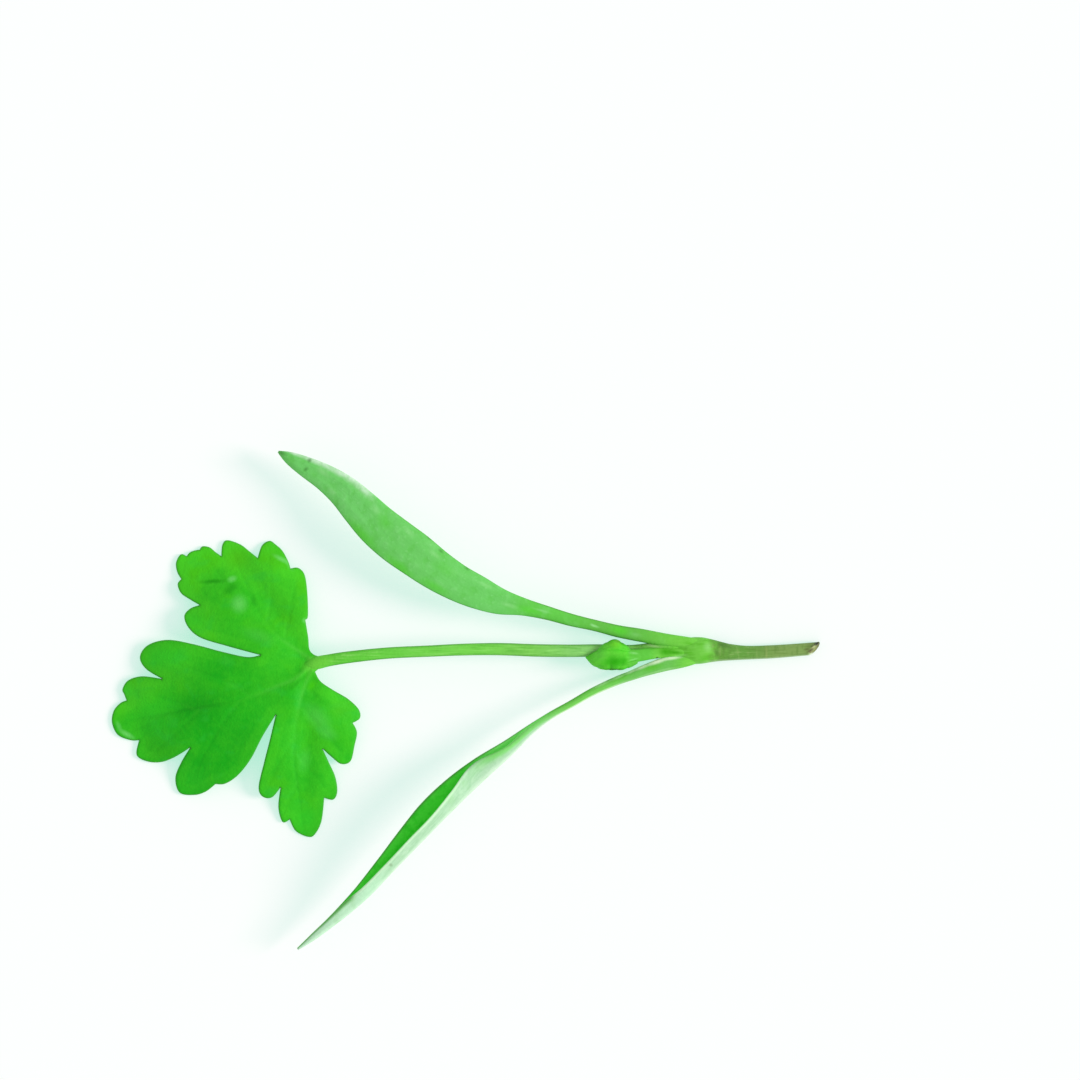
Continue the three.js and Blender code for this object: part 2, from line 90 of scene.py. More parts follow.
# Seed leaves: the blades are thinner than the stalks by this share, and the flat one has a sunk midrib
BLADE_THINNING = 0.42
FLAT_STALK_TO_BLADE = [0.55, 1.3]      # half widths where the flat one's stalk ends and its blade is full
FOLDED_STALK_TO_BLADE = [0.5, 1.1]     # the same for the lengths of the folded one's lower half
STALK_SQUARENESS = 2.4
BLADE_SQUARENESS = 4.0
FACES_APART = 0.012            # the folded one's inner faces keep this far from the middle of the fold
CROTCH_LIMIT = 0.4             # how deep the inner faces may meet, as a share of the shorter half
MIDRIB_DEPTH = 0.1
MIDRIB_WIDTH = 0.08

# Upper seed leaf, from the crown to its tip: x, y, z, half width, half thickness, arch, roll in degrees
UPPER_SEED_LEAF = [
    [21.0, 4.35, 0.9, 0.16, 0.16, 0, 0],
    [20.3, 4.56, 1.0, 0.36, 0.36, 0, 0],
    [19.5, 4.72, 1.1, 0.46, 0.46, 0, 0],
    [17.0, 5.05, 1.22, 0.54, 0.5, 0, 0],
    [15.0, 5.42, 1.4, 0.56, 0.48, 0, 0],
    [13.0, 5.78, 1.62, 0.52, 0.45, 0, 0],
    [11.0, 6.28, 1.88, 0.48, 0.42, 0, 0],
    [9.0, 6.75, 2.18, 0.53, 0.4, 0, 0],
    [6.95, 7.35, 2.5, 0.59, 0.38, 0.02, 2],
    [4.9, 7.88, 2.8, 0.76, 0.35, 0.04, 3],
    [2.9, 8.36, 3.05, 1.13, 0.32, 0.1, 4],
    [1.1, 9.1, 3.24, 1.42, 0.31, 0.14, 4],
    [-0.65, 9.93, 3.38, 1.57, 0.3, 0.16, 3],
    [-2.45, 11.03, 3.5, 1.73, 0.3, 0.18, 2],
    [-4.25, 12.35, 3.56, 1.87, 0.3, 0.18, 1],
    [-5.85, 13.5, 3.54, 1.89, 0.3, 0.18, 0],
    [-7.4, 14.78, 3.46, 1.8, 0.3, 0.17, -2],
    [-8.75, 16.15, 3.35, 1.64, 0.3, 0.16, -4],
    [-10.2, 17.6, 3.18, 1.4, 0.3, 0.14, -6],
    [-11.75, 18.75, 2.98, 1.14, 0.3, 0.11, -7],
    [-13.4, 19.68, 2.74, 0.88, 0.3, 0.08, -7],
    [-14.8, 20.45, 2.52, 0.55, 0.28, 0.04, -5],
    [-15.75, 20.98, 2.35, 0.1, 0.12, 0, 0],
]

# Lower seed leaf, folded along its midrib. The fold is its outer edge, and both halves lean inwards from it.
# From the crown to the tip: outer edge x, y, fold height z, half thickness,
# length and elevation of the lower half, length and elevation of the upper half
LOWER_SEED_LEAF = [
    [21.1, 3.85, 0.85, 0.12, 0.12, -20, 0.12, 60],
    [20.3, 3.4, 0.9, 0.34, 0.34, -20, 0.34, 60],
    [19.5, 2.98, 0.98, 0.44, 0.44, -20, 0.46, 60],
    [18.6, 2.71, 1.06, 0.48, 0.48, -20, 0.6, 48],
    [17.2, 2.42, 1.16, 0.48, 0.48, -20, 0.8, 34],
    [15.4, 1.98, 1.3, 0.44, 0.44, -20, 0.62, 40],
    [14.2, 1.62, 1.41, 0.41, 0.41, -20, 0.46, 52],
    [13.0, 1.22, 1.55, 0.38, 0.38, -18, 0.38, 60],
    [11.0, 0.36, 1.8, 0.34, 0.34, -14, 0.34, 60],
    [9.2, -0.62, 2.04, 0.31, 0.31, -8, 0.31, 60],
    [7.5, -1.56, 2.24, 0.3, 0.32, -2, 0.34, 60],
    [5.9, -2.78, 2.42, 0.3, 0.53, 4, 0.6, 58],
    [4.0, -4.68, 2.6, 0.3, 1.12, 8, 1.1, 50],
    [2.0, -6.5, 2.75, 0.3, 1.66, 8, 1.68, 28],
    [0.0, -8.4, 2.84, 0.3, 2.0, 8, 1.95, 54],
    [-2.0, -10.4, 2.88, 0.3, 2.08, 8, 2.05, 66],
    [-4.0, -12.45, 2.84, 0.3, 1.8, 8, 1.85, 64],
    [-6.0, -14.5, 2.74, 0.3, 1.42, 8, 1.5, 60],
    [-8.0, -16.6, 2.58, 0.3, 1.12, 8, 1.2, 48],
    [-9.6, -18.0, 2.42, 0.29, 0.84, 6, 0.9, 26],
    [-11.2, -19.25, 2.28, 0.28, 0.54, 4, 0.56, 16],
    [-12.7, -20.35, 2.14, 0.24, 0.3, 0, 0.34, 12],
    [-14.1, -21.2, 2.0, 0.1, 0.1, -10, 0.1, 40],
]

# Stalk of the true leaf, from the crown into the blade: x, y, z, half width, half thickness
TRUE_LEAF_STALK = [
    [20.3, 4.1, 0.8, 0.15, 0.15],
    [19.3, 4.15, 0.85, 0.4, 0.4],
    [17.6, 4.25, 1.02, 0.6, 0.5],
    [16.0, 4.18, 1.08, 0.64, 0.46],
    [14.8, 4.12, 1.12, 0.56, 0.43],
    [14.0, 4.12, 1.15, 0.5, 0.45],
    [11.5, 4.16, 1.5, 0.52, 0.48],
    [9.0, 4.13, 1.82, 0.53, 0.48],
    [6.0, 4.17, 2.16, 0.53, 0.48],
    [3.0, 4.28, 2.42, 0.52, 0.47],
    [0.0, 4.25, 2.58, 0.5, 0.46],
    [-3.0, 4.12, 2.64, 0.48, 0.45],
    [-6.5, 3.95, 2.6, 0.48, 0.44],
    [-9.8, 3.6, 2.46, 0.5, 0.42],
    [-11.5, 3.33, 2.31, 0.51, 0.38],
    [-12.6, 3.08, 2.1, 0.54, 0.32],
    [-13.7, 2.72, 1.84, 0.36, 0.2],
    [-14.7, 2.38, 1.92, 0.06, 0.05],
]

# Small folded leaf: its stalk, then its three leaflets: x, y, z, half width, half thickness
FOLDED_LEAF_STALK = [
    [20.0, 4.08, 1.2, 0.1, 0.1],
    [18.8, 4.02, 1.32, 0.3, 0.24],
    [17.2, 3.98, 1.42, 0.4, 0.28],
    [16.0, 3.9, 1.62, 0.46, 0.32],
    [15.0, 3.8, 1.84, 0.54, 0.36],
    [14.0, 3.7, 2.06, 0.6, 0.38],
    [13.2, 3.7, 2.15, 0.5, 0.34],
]
FOLDED_LEAFLETS = [
    [
        [14.3, 3.6, 2.12, 0.44, 0.36],
        [13.4, 3.6, 2.4, 0.94, 0.44],
        [12.3, 3.57, 2.54, 1.09, 0.46],
        [11.2, 3.46, 2.46, 0.8, 0.4],
        [10.25, 3.58, 2.22, 0.08, 0.12],
    ],
    [
        [14.1, 4.1, 1.98, 0.22, 0.28],
        [13.4, 4.22, 2.24, 0.56, 0.34],
        [12.7, 4.36, 2.36, 0.76, 0.38],
        [11.9, 4.26, 2.3, 0.54, 0.34],
        [11.2, 4.12, 2.14, 0.08, 0.12],
    ],
    [
        [14.6, 3.3, 1.95, 0.26, 0.3],
        [13.5, 3.08, 2.1, 0.54, 0.4],
        [12.3, 3.02, 2.12, 0.54, 0.4],
        [11.5, 2.92, 2.02, 0.36, 0.28],
        [11.0, 2.96, 1.94, 0.08, 0.12],
    ],
]
LEAFLET_TEETH = [4, 3, 4]
LEAFLET_SKIN = 0.2
SMALLEST_LEAFLET = 0.03
TENT_DROP = 1.6                # how far a leaflet's margins fall, in half heights
TENT_CURVE = 1.7
PLEAT_HEIGHT = 0.1
TOOTH_SHARE = 0.14

# The true leaf's blade: a low dome whose lobe tips lie on the surface
DOME_X = -17.5
DOME_Y = 1.5
DOME_RADIUS = 11.4
DOME_RISE = 2.3
DOME_FOOT = 0.3                # how softly the dome meets the surface
VEIN_CHANNEL_DEPTH = 0.28
VEIN_CHANNEL_WIDTH = 1.1
WAVE_HEIGHT = 0.12
WAVE_LENGTH = 7.5
LEAF_CHANNELS = [
    [[-13.2, 3.0], [-19.6, 12.6]],
    [[-13.2, 3.0], [-29.2, -1.9]],
    [[-13.2, 3.0], [-13.7, -10.8]],
]
ROOT_PLACE = [-11.9, 3.2]      # the blade rises here to meet its stalk
ROOT_RISE = 0.34
ROOT_REACH = 1.6
LEAF_THICKNESS = 0.28
LEAF_MARGIN_ROUND = 0.16       # the margin is rounded over this distance
MARGIN_RINGS = [0.05, 0.12]    # rings of points that shape the rounded margin
RING_CLEARANCE = 0.9           # the share of its reach that a ring's point keeps from the whole outline
GRID_CLEARANCE = 0.05          # how far inside the last ring the even grid starts
MERGE_DISTANCE = 1e-5

# Toothed edge of the true leaf, once round: each row is one smooth stretch that ends in a sharp notch.
# It starts inside the stalk.
LEAF_BASE = [-11.2, 3.34]
UPPER_LEAFLET_EDGE = [
    [[-11.9, 3.6], [-12.55, 3.72], [-12.98, 3.98], [-13.18, 4.4], [-13.26, 5.3], [-13.5, 6.75]],
    [[-13.28, 7.1], [-13.35, 9.0], [-13.6, 10.55], [-14.15, 11.15], [-14.8, 11.1]],
    [[-15.0, 11.7], [-15.5, 12.6], [-16.1, 13.15], [-16.6, 13.45], [-17.25, 13.05], [-17.6, 12.0]],
    [[-18.3, 12.55], [-19.1, 13.15], [-20.2, 13.5], [-20.62, 13.1], [-20.7, 12.15]],
    [[-21.2, 12.5], [-21.7, 12.9], [-22.3, 12.98], [-22.55, 12.7]],
    [[-23.0, 12.62], [-23.4, 12.45], [-23.65, 12.15]],
    [[-24.15, 12.3], [-24.55, 11.6], [-24.45, 10.8], [-24.1, 10.2]],
    [[-24.4, 9.75], [-24.1, 9.0], [-23.3, 8.45], [-22.5, 8.0]],
    [[-23.3, 7.7], [-23.8, 7.05], [-23.4, 6.05], [-22.3, 5.2], [-20.0, 4.5], [-17.3, 3.78]],
]
MIDDLE_LEAFLET_EDGE = [
    [[-18.4, 3.62], [-20.5, 4.05], [-23.0, 4.7], [-25.2, 5.05], [-26.9, 4.6], [-27.6, 3.6], [-27.1, 2.6],
     [-25.7, 1.75]],
    [[-27.4, 1.95], [-28.6, 1.6], [-29.1, 0.85], [-28.95, 0.4], [-28.75, -0.1]],
    [[-29.3, -0.35], [-29.85, -1.0], [-30.0, -2.0], [-29.5, -3.05], [-28.4, -3.5], [-27.7, -3.5]],
    [[-27.9, -4.75], [-27.0, -5.3], [-25.8, -5.35], [-24.6, -4.9], [-23.3, -4.1]],
    [[-24.1, -5.4], [-24.6, -6.7], [-24.25, -7.95], [-23.0, -8.15], [-22.0, -7.85], [-21.15, -7.2]],
    [[-20.3, -7.15], [-19.2, -6.4], [-18.1, -5.0], [-17.1, -3.1], [-16.0, -1.3]],
]
LOWER_LEAFLET_EDGE = [
    [[-16.5, -3.4], [-17.0, -5.3], [-17.5, -7.4], [-17.2, -8.25], [-16.4, -8.35], [-15.65, -7.5]],
    [[-15.85, -9.2], [-15.5, -10.45], [-14.9, -10.25]],
    [[-14.4, -11.2], [-13.4, -11.7], [-12.8, -11.55], [-12.2, -10.4], [-11.95, -8.4]],
    [[-11.2, -8.55], [-10.85, -7.9], [-11.0, -6.6], [-11.6, -5.2], [-12.05, -4.2]],
    [[-11.3, -4.9], [-10.5, -5.5], [-9.7, -5.25], [-9.35, -3.9], [-9.15, -2.8], [-9.5, -2.0]],
    [[-8.9, -1.6], [-9.0, -0.85], [-9.9, 0.05], [-11.1, 0.78], [-12.2, 1.55], [-12.66, 2.35]],
]
LEAF_BASE_EDGE = [[-12.3, 2.66], [-11.8, 2.95]]

# Near this place the main veins stand up from the blade, and further out all veins are sunk into it.
# The shares are of a vein's own ridge.
VEIN_ROOT = [-12.9, 3.05]
VEIN_ROOT_REACH = 1.6
VEIN_RISE = 0.6
VEIN_GROOVE = 0.22
VEIN_UNDERSIDE = 0.8

# The true leaf's veins: radius where the vein starts, radius at its tip, and its course
MAIN_VEINS = [
    [0.3, 0.07, [[-12.6, 3.2], [-13.4, 3.7], [-14.5, 4.4], [-15.8, 5.35], [-17.0, 6.8], [-18.0, 8.6],
                 [-18.9, 10.6], [-19.9, 12.8]]],
    [0.32, 0.07, [[-12.4, 3.1], [-13.4, 2.55], [-14.4, 1.75], [-16.0, 1.1], [-17.5, 0.45], [-19.0, 0.02],
                  [-21.0, -0.4], [-23.5, -0.85], [-26.0, -1.35], [-29.4, -1.95]]],
    [0.28, 0.07, [[-12.6, 3.0], [-13.1, 2.2], [-13.6, 1.0], [-14.0, -0.5], [-14.3, -2.5], [-14.4, -5.0],
                  [-14.1, -8.0], [-13.7, -11.2]]],
]
SIDE_VEINS = [
    [0.16, 0.05, [[-15.3, 5.0], [-14.8, 7.4], [-14.3, 10.4]]],
    [0.15, 0.05, [[-16.8, 6.5], [-16.4, 9.2], [-16.6, 12.7]]],
    [0.17, 0.05, [[-17.9, 8.3], [-19.6, 9.4], [-20.9, 9.95], [-22.6, 10.1], [-24.0, 10.9]]],
    [0.13, 0.05, [[-20.4, 9.8], [-21.3, 11.2], [-22.2, 12.4]]],
    [0.13, 0.05, [[-20.9, 9.95], [-22.6, 9.4], [-23.9, 9.3]]],
    [0.15, 0.05, [[-16.6, 6.3], [-18.8, 6.6], [-21.2, 6.8], [-23.2, 7.0]]],
    [0.17, 0.05, [[-18.0, 0.3], [-20.6, 1.7], [-23.6, 2.8], [-26.8, 3.7]]],
    [0.14, 0.05, [[-23.0, -0.75], [-25.4, 0.05], [-28.3, 0.75]]],
    [0.17, 0.05, [[-18.9, 0.1], [-20.5, -2.0], [-22.0, -4.6], [-23.4, -7.4]]],
    [0.15, 0.05, [[-22.3, -0.65], [-24.3, -2.7], [-26.6, -4.7]]],
    [0.13, 0.05, [[-25.8, -1.3], [-27.3, -2.3], [-28.9, -2.9]]],
    [0.15, 0.05, [[-13.5, 1.2], [-12.2, -0.2], [-10.6, -0.9], [-9.4, -1.0]]],
    [0.15, 0.05, [[-14.0, -0.4], [-12.6, -2.0], [-11.2, -3.4], [-10.2, -4.9]]],
    [0.16, 0.05, [[-14.3, -3.0], [-15.6, -5.2], [-16.9, -7.8]]],
    [0.14, 0.05, [[-14.4, -4.4], [-13.0, -6.1], [-11.5, -7.9]]],
    [0.13, 0.05, [[-14.2, -7.0], [-15.0, -8.7], [-15.4, -10.0]]],
]

# How light the true leaf's green is in its parts: x, y, reach, lightness from 0 to 1
LEAF_TONES = [
    [-22.0, -3.0, 2.6, 0.04],
    [-26.3, -3.2, 2.0, 0.3],
    [-23.0, -6.8, 1.8, 0.14],
    [-19.0, -3.5, 2.0, 0.24],
    [-24.5, 3.6, 1.8, 0.62],
    [-28.4, 0.8, 1.2, 0.85],
    [-20.5, 2.2, 2.0, 0.2],
    [-16.0, 2.3, 1.6, 0.45],
    [-14.8, 0.6, 1.2, 0.3],
    [-18.5, 6.6, 2.0, 0.42],
    [-22.4, 6.4, 1.4, 0.8],
    [-20.8, 9.4, 1.3, 0.5],
    [-19.4, 12.0, 1.4, 1.0],
    [-16.8, 11.2, 1.4, 0.9],
    [-23.3, 11.0, 1.4, 0.95],
    [-14.6, 8.5, 1.8, 0.76],
    [-13.8, -4.6, 1.8, 0.42],
    [-10.4, -3.6, 1.2, 0.36],
    [-10.6, -0.8, 1.2, 0.48],
    [-13.5, -9.8, 1.6, 0.48],
    [-16.6, -6.6, 1.2, 0.5],
]

# The green of the crown, as the eye sees it
CROWN_GREEN = (112, 203, 67)

# Floor and light. The floor's own glow gives it its pale tone, and its colour tints the shadows.
FLOOR_REACH = 2.0              # metres
FLOOR_COLOUR = (0.66, 0.31, 0.42, 1.0)
FLOOR_GLOW = (0.309, 0.694, 0.566, 1.0)
SKY_STRENGTH = 0.66
SUN_STRENGTH = 2.35
SUN_WIDTH = 22.0               # degrees
SUN_TILT = 61.0                # degrees from straight above, towards the cut end

UP = np.array([0.0, 0.0, 1.0])


# Curves

def unit(vectors):
    return vectors / np.linalg.norm(vectors, axis=-1, keepdims=True)


def smoothstep(low, high, value):
    part = np.clip((value - low) / (high - low), 0.0, 1.0)
    return part * part * (3.0 - 2.0 * part)


def curve(a, b, slope_a, slope_b, part):
    """A smooth curve from a to b, read at shares of the way."""
    return (
        (2 * part**3 - 3 * part**2 + 1) * a + (part**3 - 2 * part**2 + part) * slope_a
        + (3 * part**2 - 2 * part**3) * b + (part**3 - part**2) * slope_b
    )


def read_stations(stations, step):
    """Joins rows that start with x, y and z by a smooth curve, and reads it at even steps.

    Returns the rows, the directions of the curve and the distances along it."""
    rows = np.array(stations, float)
    gaps = np.linalg.norm(np.diff(rows[:, :3], axis=0), axis=1)
    knots = np.concatenate([[0.0], np.cumsum(gaps)])
    chords = np.diff(rows, axis=0) / gaps[:, None]
    slopes = np.empty_like(rows)
    slopes[1:-1] = (rows[2:] - rows[:-2]) / (knots[2:] - knots[:-2])[:, None]
    slopes[0] = 1.5 * chords[0] - 0.5 * slopes[1]
    slopes[-1] = 1.5 * chords[-1] - 0.5 * slopes[-2]
    at = np.linspace(0.0, knots[-1], max(4, round(knots[-1] / step)) + 1)
    left = np.clip(np.searchsorted(knots, at, side="right") - 1, 0, len(gaps) - 1)
    gap = gaps[left][:, None]
    part = (at[:, None] - knots[left][:, None]) / gap
    a, b, va, vb = rows[left], rows[left + 1], slopes[left] * gap, slopes[left + 1] * gap
    values = curve(a, b, va, vb, part)
    rates = (
        (6 * part**2 - 6 * part) * (a - b) + (3 * part**2 - 4 * part + 1) * va
        + (3 * part**2 - 2 * part) * vb
    )
    return values, unit(rates[:, :3]), at


def spline(points, step):
    """A smooth curve through a few points of the plane, as points at even steps."""
    knots = np.array(points, float)
    before = np.vstack([knots[:1], knots[:-1]])
    after = np.vstack([knots[1:], knots[-1:]])
    slopes = (after - before) / 2.0
    part = np.linspace(0.0, 1.0, CURVE_STEPS, endpoint=False)[:, None]
    fine = []
    for i in range(len(knots) - 1):
        fine.append(curve(knots[i], knots[i + 1], slopes[i], slopes[i + 1], part))
    fine = np.vstack([*fine, knots[-1:]])
    lengths = np.concatenate([[0.0], np.cumsum(np.linalg.norm(np.diff(fine, axis=0), axis=1))])
    at = np.linspace(0.0, lengths[-1], max(3, round(lengths[-1] / step)) + 1)
    return np.stack([np.interp(at, lengths, fine[:, k]) for k in range(2)], axis=1)


def distance_to_segments(points, starts, ends):
    """Distance of each point of the plane to the nearest of a list of straight pieces."""
    nearest = np.full(len(points), np.inf)
    for start, end in zip(starts, ends):
        way = end - start
        part = np.clip(((points - start) @ way) / (way @ way), 0.0, 1.0)
        nearest = np.minimum(nearest, np.linalg.norm(points - start - part[:, None] * way, axis=1))
    return nearest


def inside(points, loop):
    """Which points of the plane lie inside a closed loop."""
    result = np.zeros(len(points), bool)
    x, y = points[:, 0], points[:, 1]
    for (x0, y0), (x1, y1) in zip(loop, np.roll(loop, -1, axis=0)):
        if y0 == y1:
            continue
        crosses = (y0 > y) != (y1 > y)
        result ^= crosses & (x < (x1 - x0) * (y - y0) / (y1 - y0) + x0)
    return result


# Meshes

def make_piece(name, points, faces, attributes, material, node):
    """A smooth mesh from points in millimetres. It stands for a node of the frame."""
    mesh = bpy.data.meshes.new(name)
    mesh.from_pydata((np.asarray(points) * MM).tolist(), [], faces)
    mesh.update()
    for key, values in attributes.items():
        layer = mesh.attributes.new(key, "FLOAT", "POINT")
        layer.data.foreach_set("value", np.asarray(values, np.float32))
    mesh.shade_smooth()
    mesh.materials.append(material)
    piece = bpy.data.objects.new(name, mesh)
    bpy.context.scene.collection.objects.link(piece)
    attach(piece, "root")
    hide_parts(node)


def loft(rings):
    """Faces through rings with the same number of points, with a fan on each end."""
    count, sides = rings.shape[:2]
    points = rings.reshape(-1, 3)
    points = np.vstack([points, rings[0].mean(axis=0), rings[-1].mean(axis=0)])
    faces = []
    for ring in range(count - 1):
        for side in range(sides):
            a = ring * sides + side
            b = ring * sides + (side + 1) % sides
            faces.append((a, b, b + sides, a + sides))
    first, last = len(points) - 2, len(points) - 1
    top = (count - 1) * sides
    for side in range(sides):
        after = (side + 1) % sides
        faces.append((first, after, side))
        faces.append((last, top + side, top + after))
    return points, faces


def per_point(values, rings):
    """Values of the rings' points, or one column or row of them, as one for each point of the loft."""
    values = np.broadcast_to(values, rings.shape[:2])
    return np.concatenate([values.reshape(-1), [values[0].mean(), values[-1].mean()]])


def axes_across(directions, rolls):
    """For each direction of a curve, the sideways and upwards axes of its section."""
    across = unit(np.cross(UP, directions))
    upwards = unit(np.cross(directions, across))
    turn = np.radians(rolls)[:, None]
    turned_across = across * np.cos(turn) + upwards * np.sin(turn)
    turned_upwards = upwards * np.cos(turn) - across * np.sin(turn)
    return turned_across, turned_upwards


def place_sections(values, across, upwards, sideways, lift):
    """Rings of points in space, from how far each point lies sideways and upwards from the curve."""
    return (
        values[:, None, :3]
        + across[:, None, :] * sideways[:, :, None]
        + upwards[:, None, :] * lift[:, :, None]
    )


def signed_power(value, exponent):
    return np.sign(value) * np.abs(value) ** exponent


# Materials

def colour(red, green, blue):
    """A colour as the eye sees it, from 0 to 255, as the linear colour that a shader takes."""
    parts = np.array([red, green, blue]) / 255.0
    linear = np.where(parts <= 0.04045, parts / 12.92, ((parts + 0.055) / 1.055) ** 2.4)
    return (*linear, 1.0)


class Surface:
    """A node material, called s below, with short calls for the sums that the surfaces share."""

    def __init__(self, name):
        self.material = bpy.data.materials.new(name)
        self.material.use_nodes = True
        self.nodes = self.material.node_tree.nodes
        self.links = self.material.node_tree.links
        self.shader = self.nodes["Principled BSDF"]
        coordinates = self.node("TexCoord")
        self.place = self.vector("SCALE", coordinates.outputs["Object"], scale=1.0 / MM)
        self.plan = self.vector("MULTIPLY", self.place, (1.0, 1.0, 0.0))
        split = self.node("SeparateXYZ")
        self.links.new(self.place, split.inputs[0])
        self.x, self.y, self.z = split.outputs

    def node(self, kind, **settings):
        node = self.nodes.new("ShaderNode" + kind)
        for key, value in settings.items():
            setattr(node, key, value)
        return node

    def put(self, socket, value):
        if isinstance(value, Paint):
            value = value.tone
        if isinstance(value, bpy.types.NodeSocket):
            self.links.new(value, socket)
        else:
            socket.default_value = value

    def vector(self, operation, a, b=None, scale=None):
        node = self.node("VectorMath", operation=operation)
        self.put(node.inputs[0], a)
        if b is not None:
            self.put(node.inputs[1], b)
        if scale is not None:
            self.put(node.inputs["Scale"], scale)
        return node.outputs["Value" if operation == "LENGTH" else "Vector"]

    def math(self, operation, a, b=0.0):
        node = self.node("Math", operation=operation)
        self.put(node.inputs[0], a)
        self.put(node.inputs[1], b)
        return node.outputs["Value"]

    def add(self, *values):
        total = values[0]
        for value in values[1:]:
            total = self.math("ADD", total, value)
        return total

    def times(self, *values):
        total = values[0]
        for value in values[1:]:
            total = self.math("MULTIPLY", total, value)
        return total

    def ramp(self, value, low, high, to_low=0.0, to_high=1.0):
        """A smooth step from to_low, where the value is low, to to_high."""
        node = self.node("MapRange", interpolation_type="SMOOTHSTEP")
        for key, number in (("From Min", low), ("From Max", high), ("To Min", to_low), ("To Max", to_high)):
            node.inputs[key].default_value = number
        self.put(node.inputs["Value"], value)
        return node.outputs["Result"]

    def band(self, value, start, end, blur):
        """One between two values, and zero outside them."""
        rise = self.ramp(value, start - blur, start + blur)
        return self.times(rise, self.ramp(value, end - blur, end + blur, 1.0, 0.0))

    def mix(self, base, other, share):
        """A mix of two colours. Each is a socket, a Paint, or three numbers as for colour."""
        node = self.node("Mix", data_type="RGBA")
        self.put(node.inputs[0], share)
        for socket, tone in zip(node.inputs[6:8], (base, other)):
            self.put(socket, colour(*tone) if isinstance(tone, tuple) else tone)
        return node.outputs[2]

    def paint(self, base, other, share):
        return Paint(self, self.mix(base, other, share))

    def attribute(self, name):
        return self.node("Attribute", attribute_name=name).outputs["Fac"]

    def joined(self, x, y, z):
        node = self.node("CombineXYZ")
        for socket, value in zip(node.inputs, (x, y, z)):
            self.put(socket, value)
        return node.outputs["Vector"]

    def noise(self, size, detail=2.0, stretch=(1.0, 1.0, 1.0), along=None):
        """Noise whose features are about size millimetres across."""
        node = self.node("TexNoise")
        node.inputs["Scale"].default_value = 1.0 / size
        node.inputs["Detail"].default_value = detail
        self.put(node.inputs["Vector"], self.vector("MULTIPLY", along or self.place, stretch))
        return node.outputs["Fac"]

    def vary(self, noise, amount):
        """Noise made to swing evenly about zero."""
        return self.times(self.math("SUBTRACT", noise, 0.5), amount)

    def cells(self, size):
        """The distance to the border between cells of about size millimetres."""
        node = self.node("TexVoronoi", feature="DISTANCE_TO_EDGE")
        node.inputs["Scale"].default_value = 1.0 / size
        self.put(node.inputs["Vector"], self.place)
        return node.outputs["Distance"]

    def spot(self, x, y, radius, other_radius, turn):
        """One at a place seen from above, falling to zero at its two radii."""
        rotate = self.node("VectorRotate", rotation_type="Z_AXIS")
        rotate.inputs["Angle"].default_value = math.radians(-turn)
        self.put(rotate.inputs["Vector"], self.vector("SUBTRACT", self.plan, (x, y, 0.0)))
        shares = (1.0 / radius, 1.0 / other_radius, 0.0)
        away = self.vector("LENGTH", self.vector("MULTIPLY", rotate.outputs["Vector"], shares))
        return self.ramp(away, 0.0, 1.0, 1.0, 0.0)

    def finish(self, base, roughness, specular, height, depth):
        """Connects the colour and the relief. depth is the relief's height in millimetres."""
        self.put(self.shader.inputs["Base Color"], base)
        self.put(self.shader.inputs["Roughness"], roughness)
        self.shader.inputs["Specular IOR Level"].default_value = specular
        bump = self.node("Bump")
        bump.inputs["Distance"].default_value = depth * MM
        self.put(bump.inputs["Height"], height)
        self.links.new(bump.outputs["Normal"], self.shader.inputs["Normal"])
        return self.material


class Paint:
    """A surface's colour that is built up coat by coat."""

    def __init__(self, surface, tone):
        self.surface = surface
        self.tone = tone

    def coat(self, tone, share):
        self.tone = self.surface.mix(self.tone, tone, share)

    def spots(self, tone, rows, share=1.0):
        """Spots of one tone: each row is x, y, radius, other radius, turn in degrees and strength."""
        for *place, strength in rows:
            self.coat(tone, self.surface.times(self.surface.spot(*place), strength, share))


# True leaf

def leaf_outline():
    points = [np.array([LEAF_BASE])]
    here = LEAF_BASE
    for stretch in [*UPPER_LEAFLET_EDGE, *MIDDLE_LEAFLET_EDGE, *LOWER_LEAFLET_EDGE]:
        points.append(spline([here, *stretch], OUTLINE_STEP)[1:])
        here = stretch[-1]
    closing = spline([here, *LEAF_BASE_EDGE, LEAF_BASE], OUTLINE_STEP)[1:-1]
    return np.vstack([*points, closing])


def leaf_plan_mesh(outline):
    """Splits the outline's inside into small triangles."""
    after = np.roll(outline, -1, axis=0)
    before = np.roll(outline, 1, axis=0)
    inwards = unit(np.stack([after[:, 1] - before[:, 1], before[:, 0] - after[:, 0]], axis=1))
    area = 0.5 * np.sum(outline[:, 0] * after[:, 1] - after[:, 0] * outline[:, 1])
    if area > 0:
        inwards = -inwards
    extra = []
    for reach in MARGIN_RINGS:
        ring = outline + inwards * reach
        clear = inside(ring, outline) & (distance_to_segments(ring, outline, after) > RING_CLEARANCE * reach)
        extra.append(ring[clear])
    low = outline.min(axis=0)
    high = outline.max(axis=0)
    rows = []
    row_gap = BLADE_GRID * math.sqrt(3.0) / 2.0
    for number, y in enumerate(np.arange(low[1], high[1], row_gap)):
        xs = np.arange(low[0] + (number % 2) * BLADE_GRID / 2.0, high[0], BLADE_GRID)
        rows.append(np.stack([xs, np.full(len(xs), y)], axis=1))
    grid = np.vstack(rows)
    grid = grid[inside(grid, outline)]
    grid = grid[distance_to_segments(grid, outline, after) > MARGIN_RINGS[-1] + GRID_CLEARANCE]
    points = np.vstack([outline, *extra, grid])
    loop = list(range(len(outline)))
    result = delaunay_2d_cdt([Vector(p) for p in points], [], [loop], 1, MERGE_DISTANCE)
    plan = np.array([list(v) for v in result[0]])
    return plan, [tuple(face) for face in result[2]]


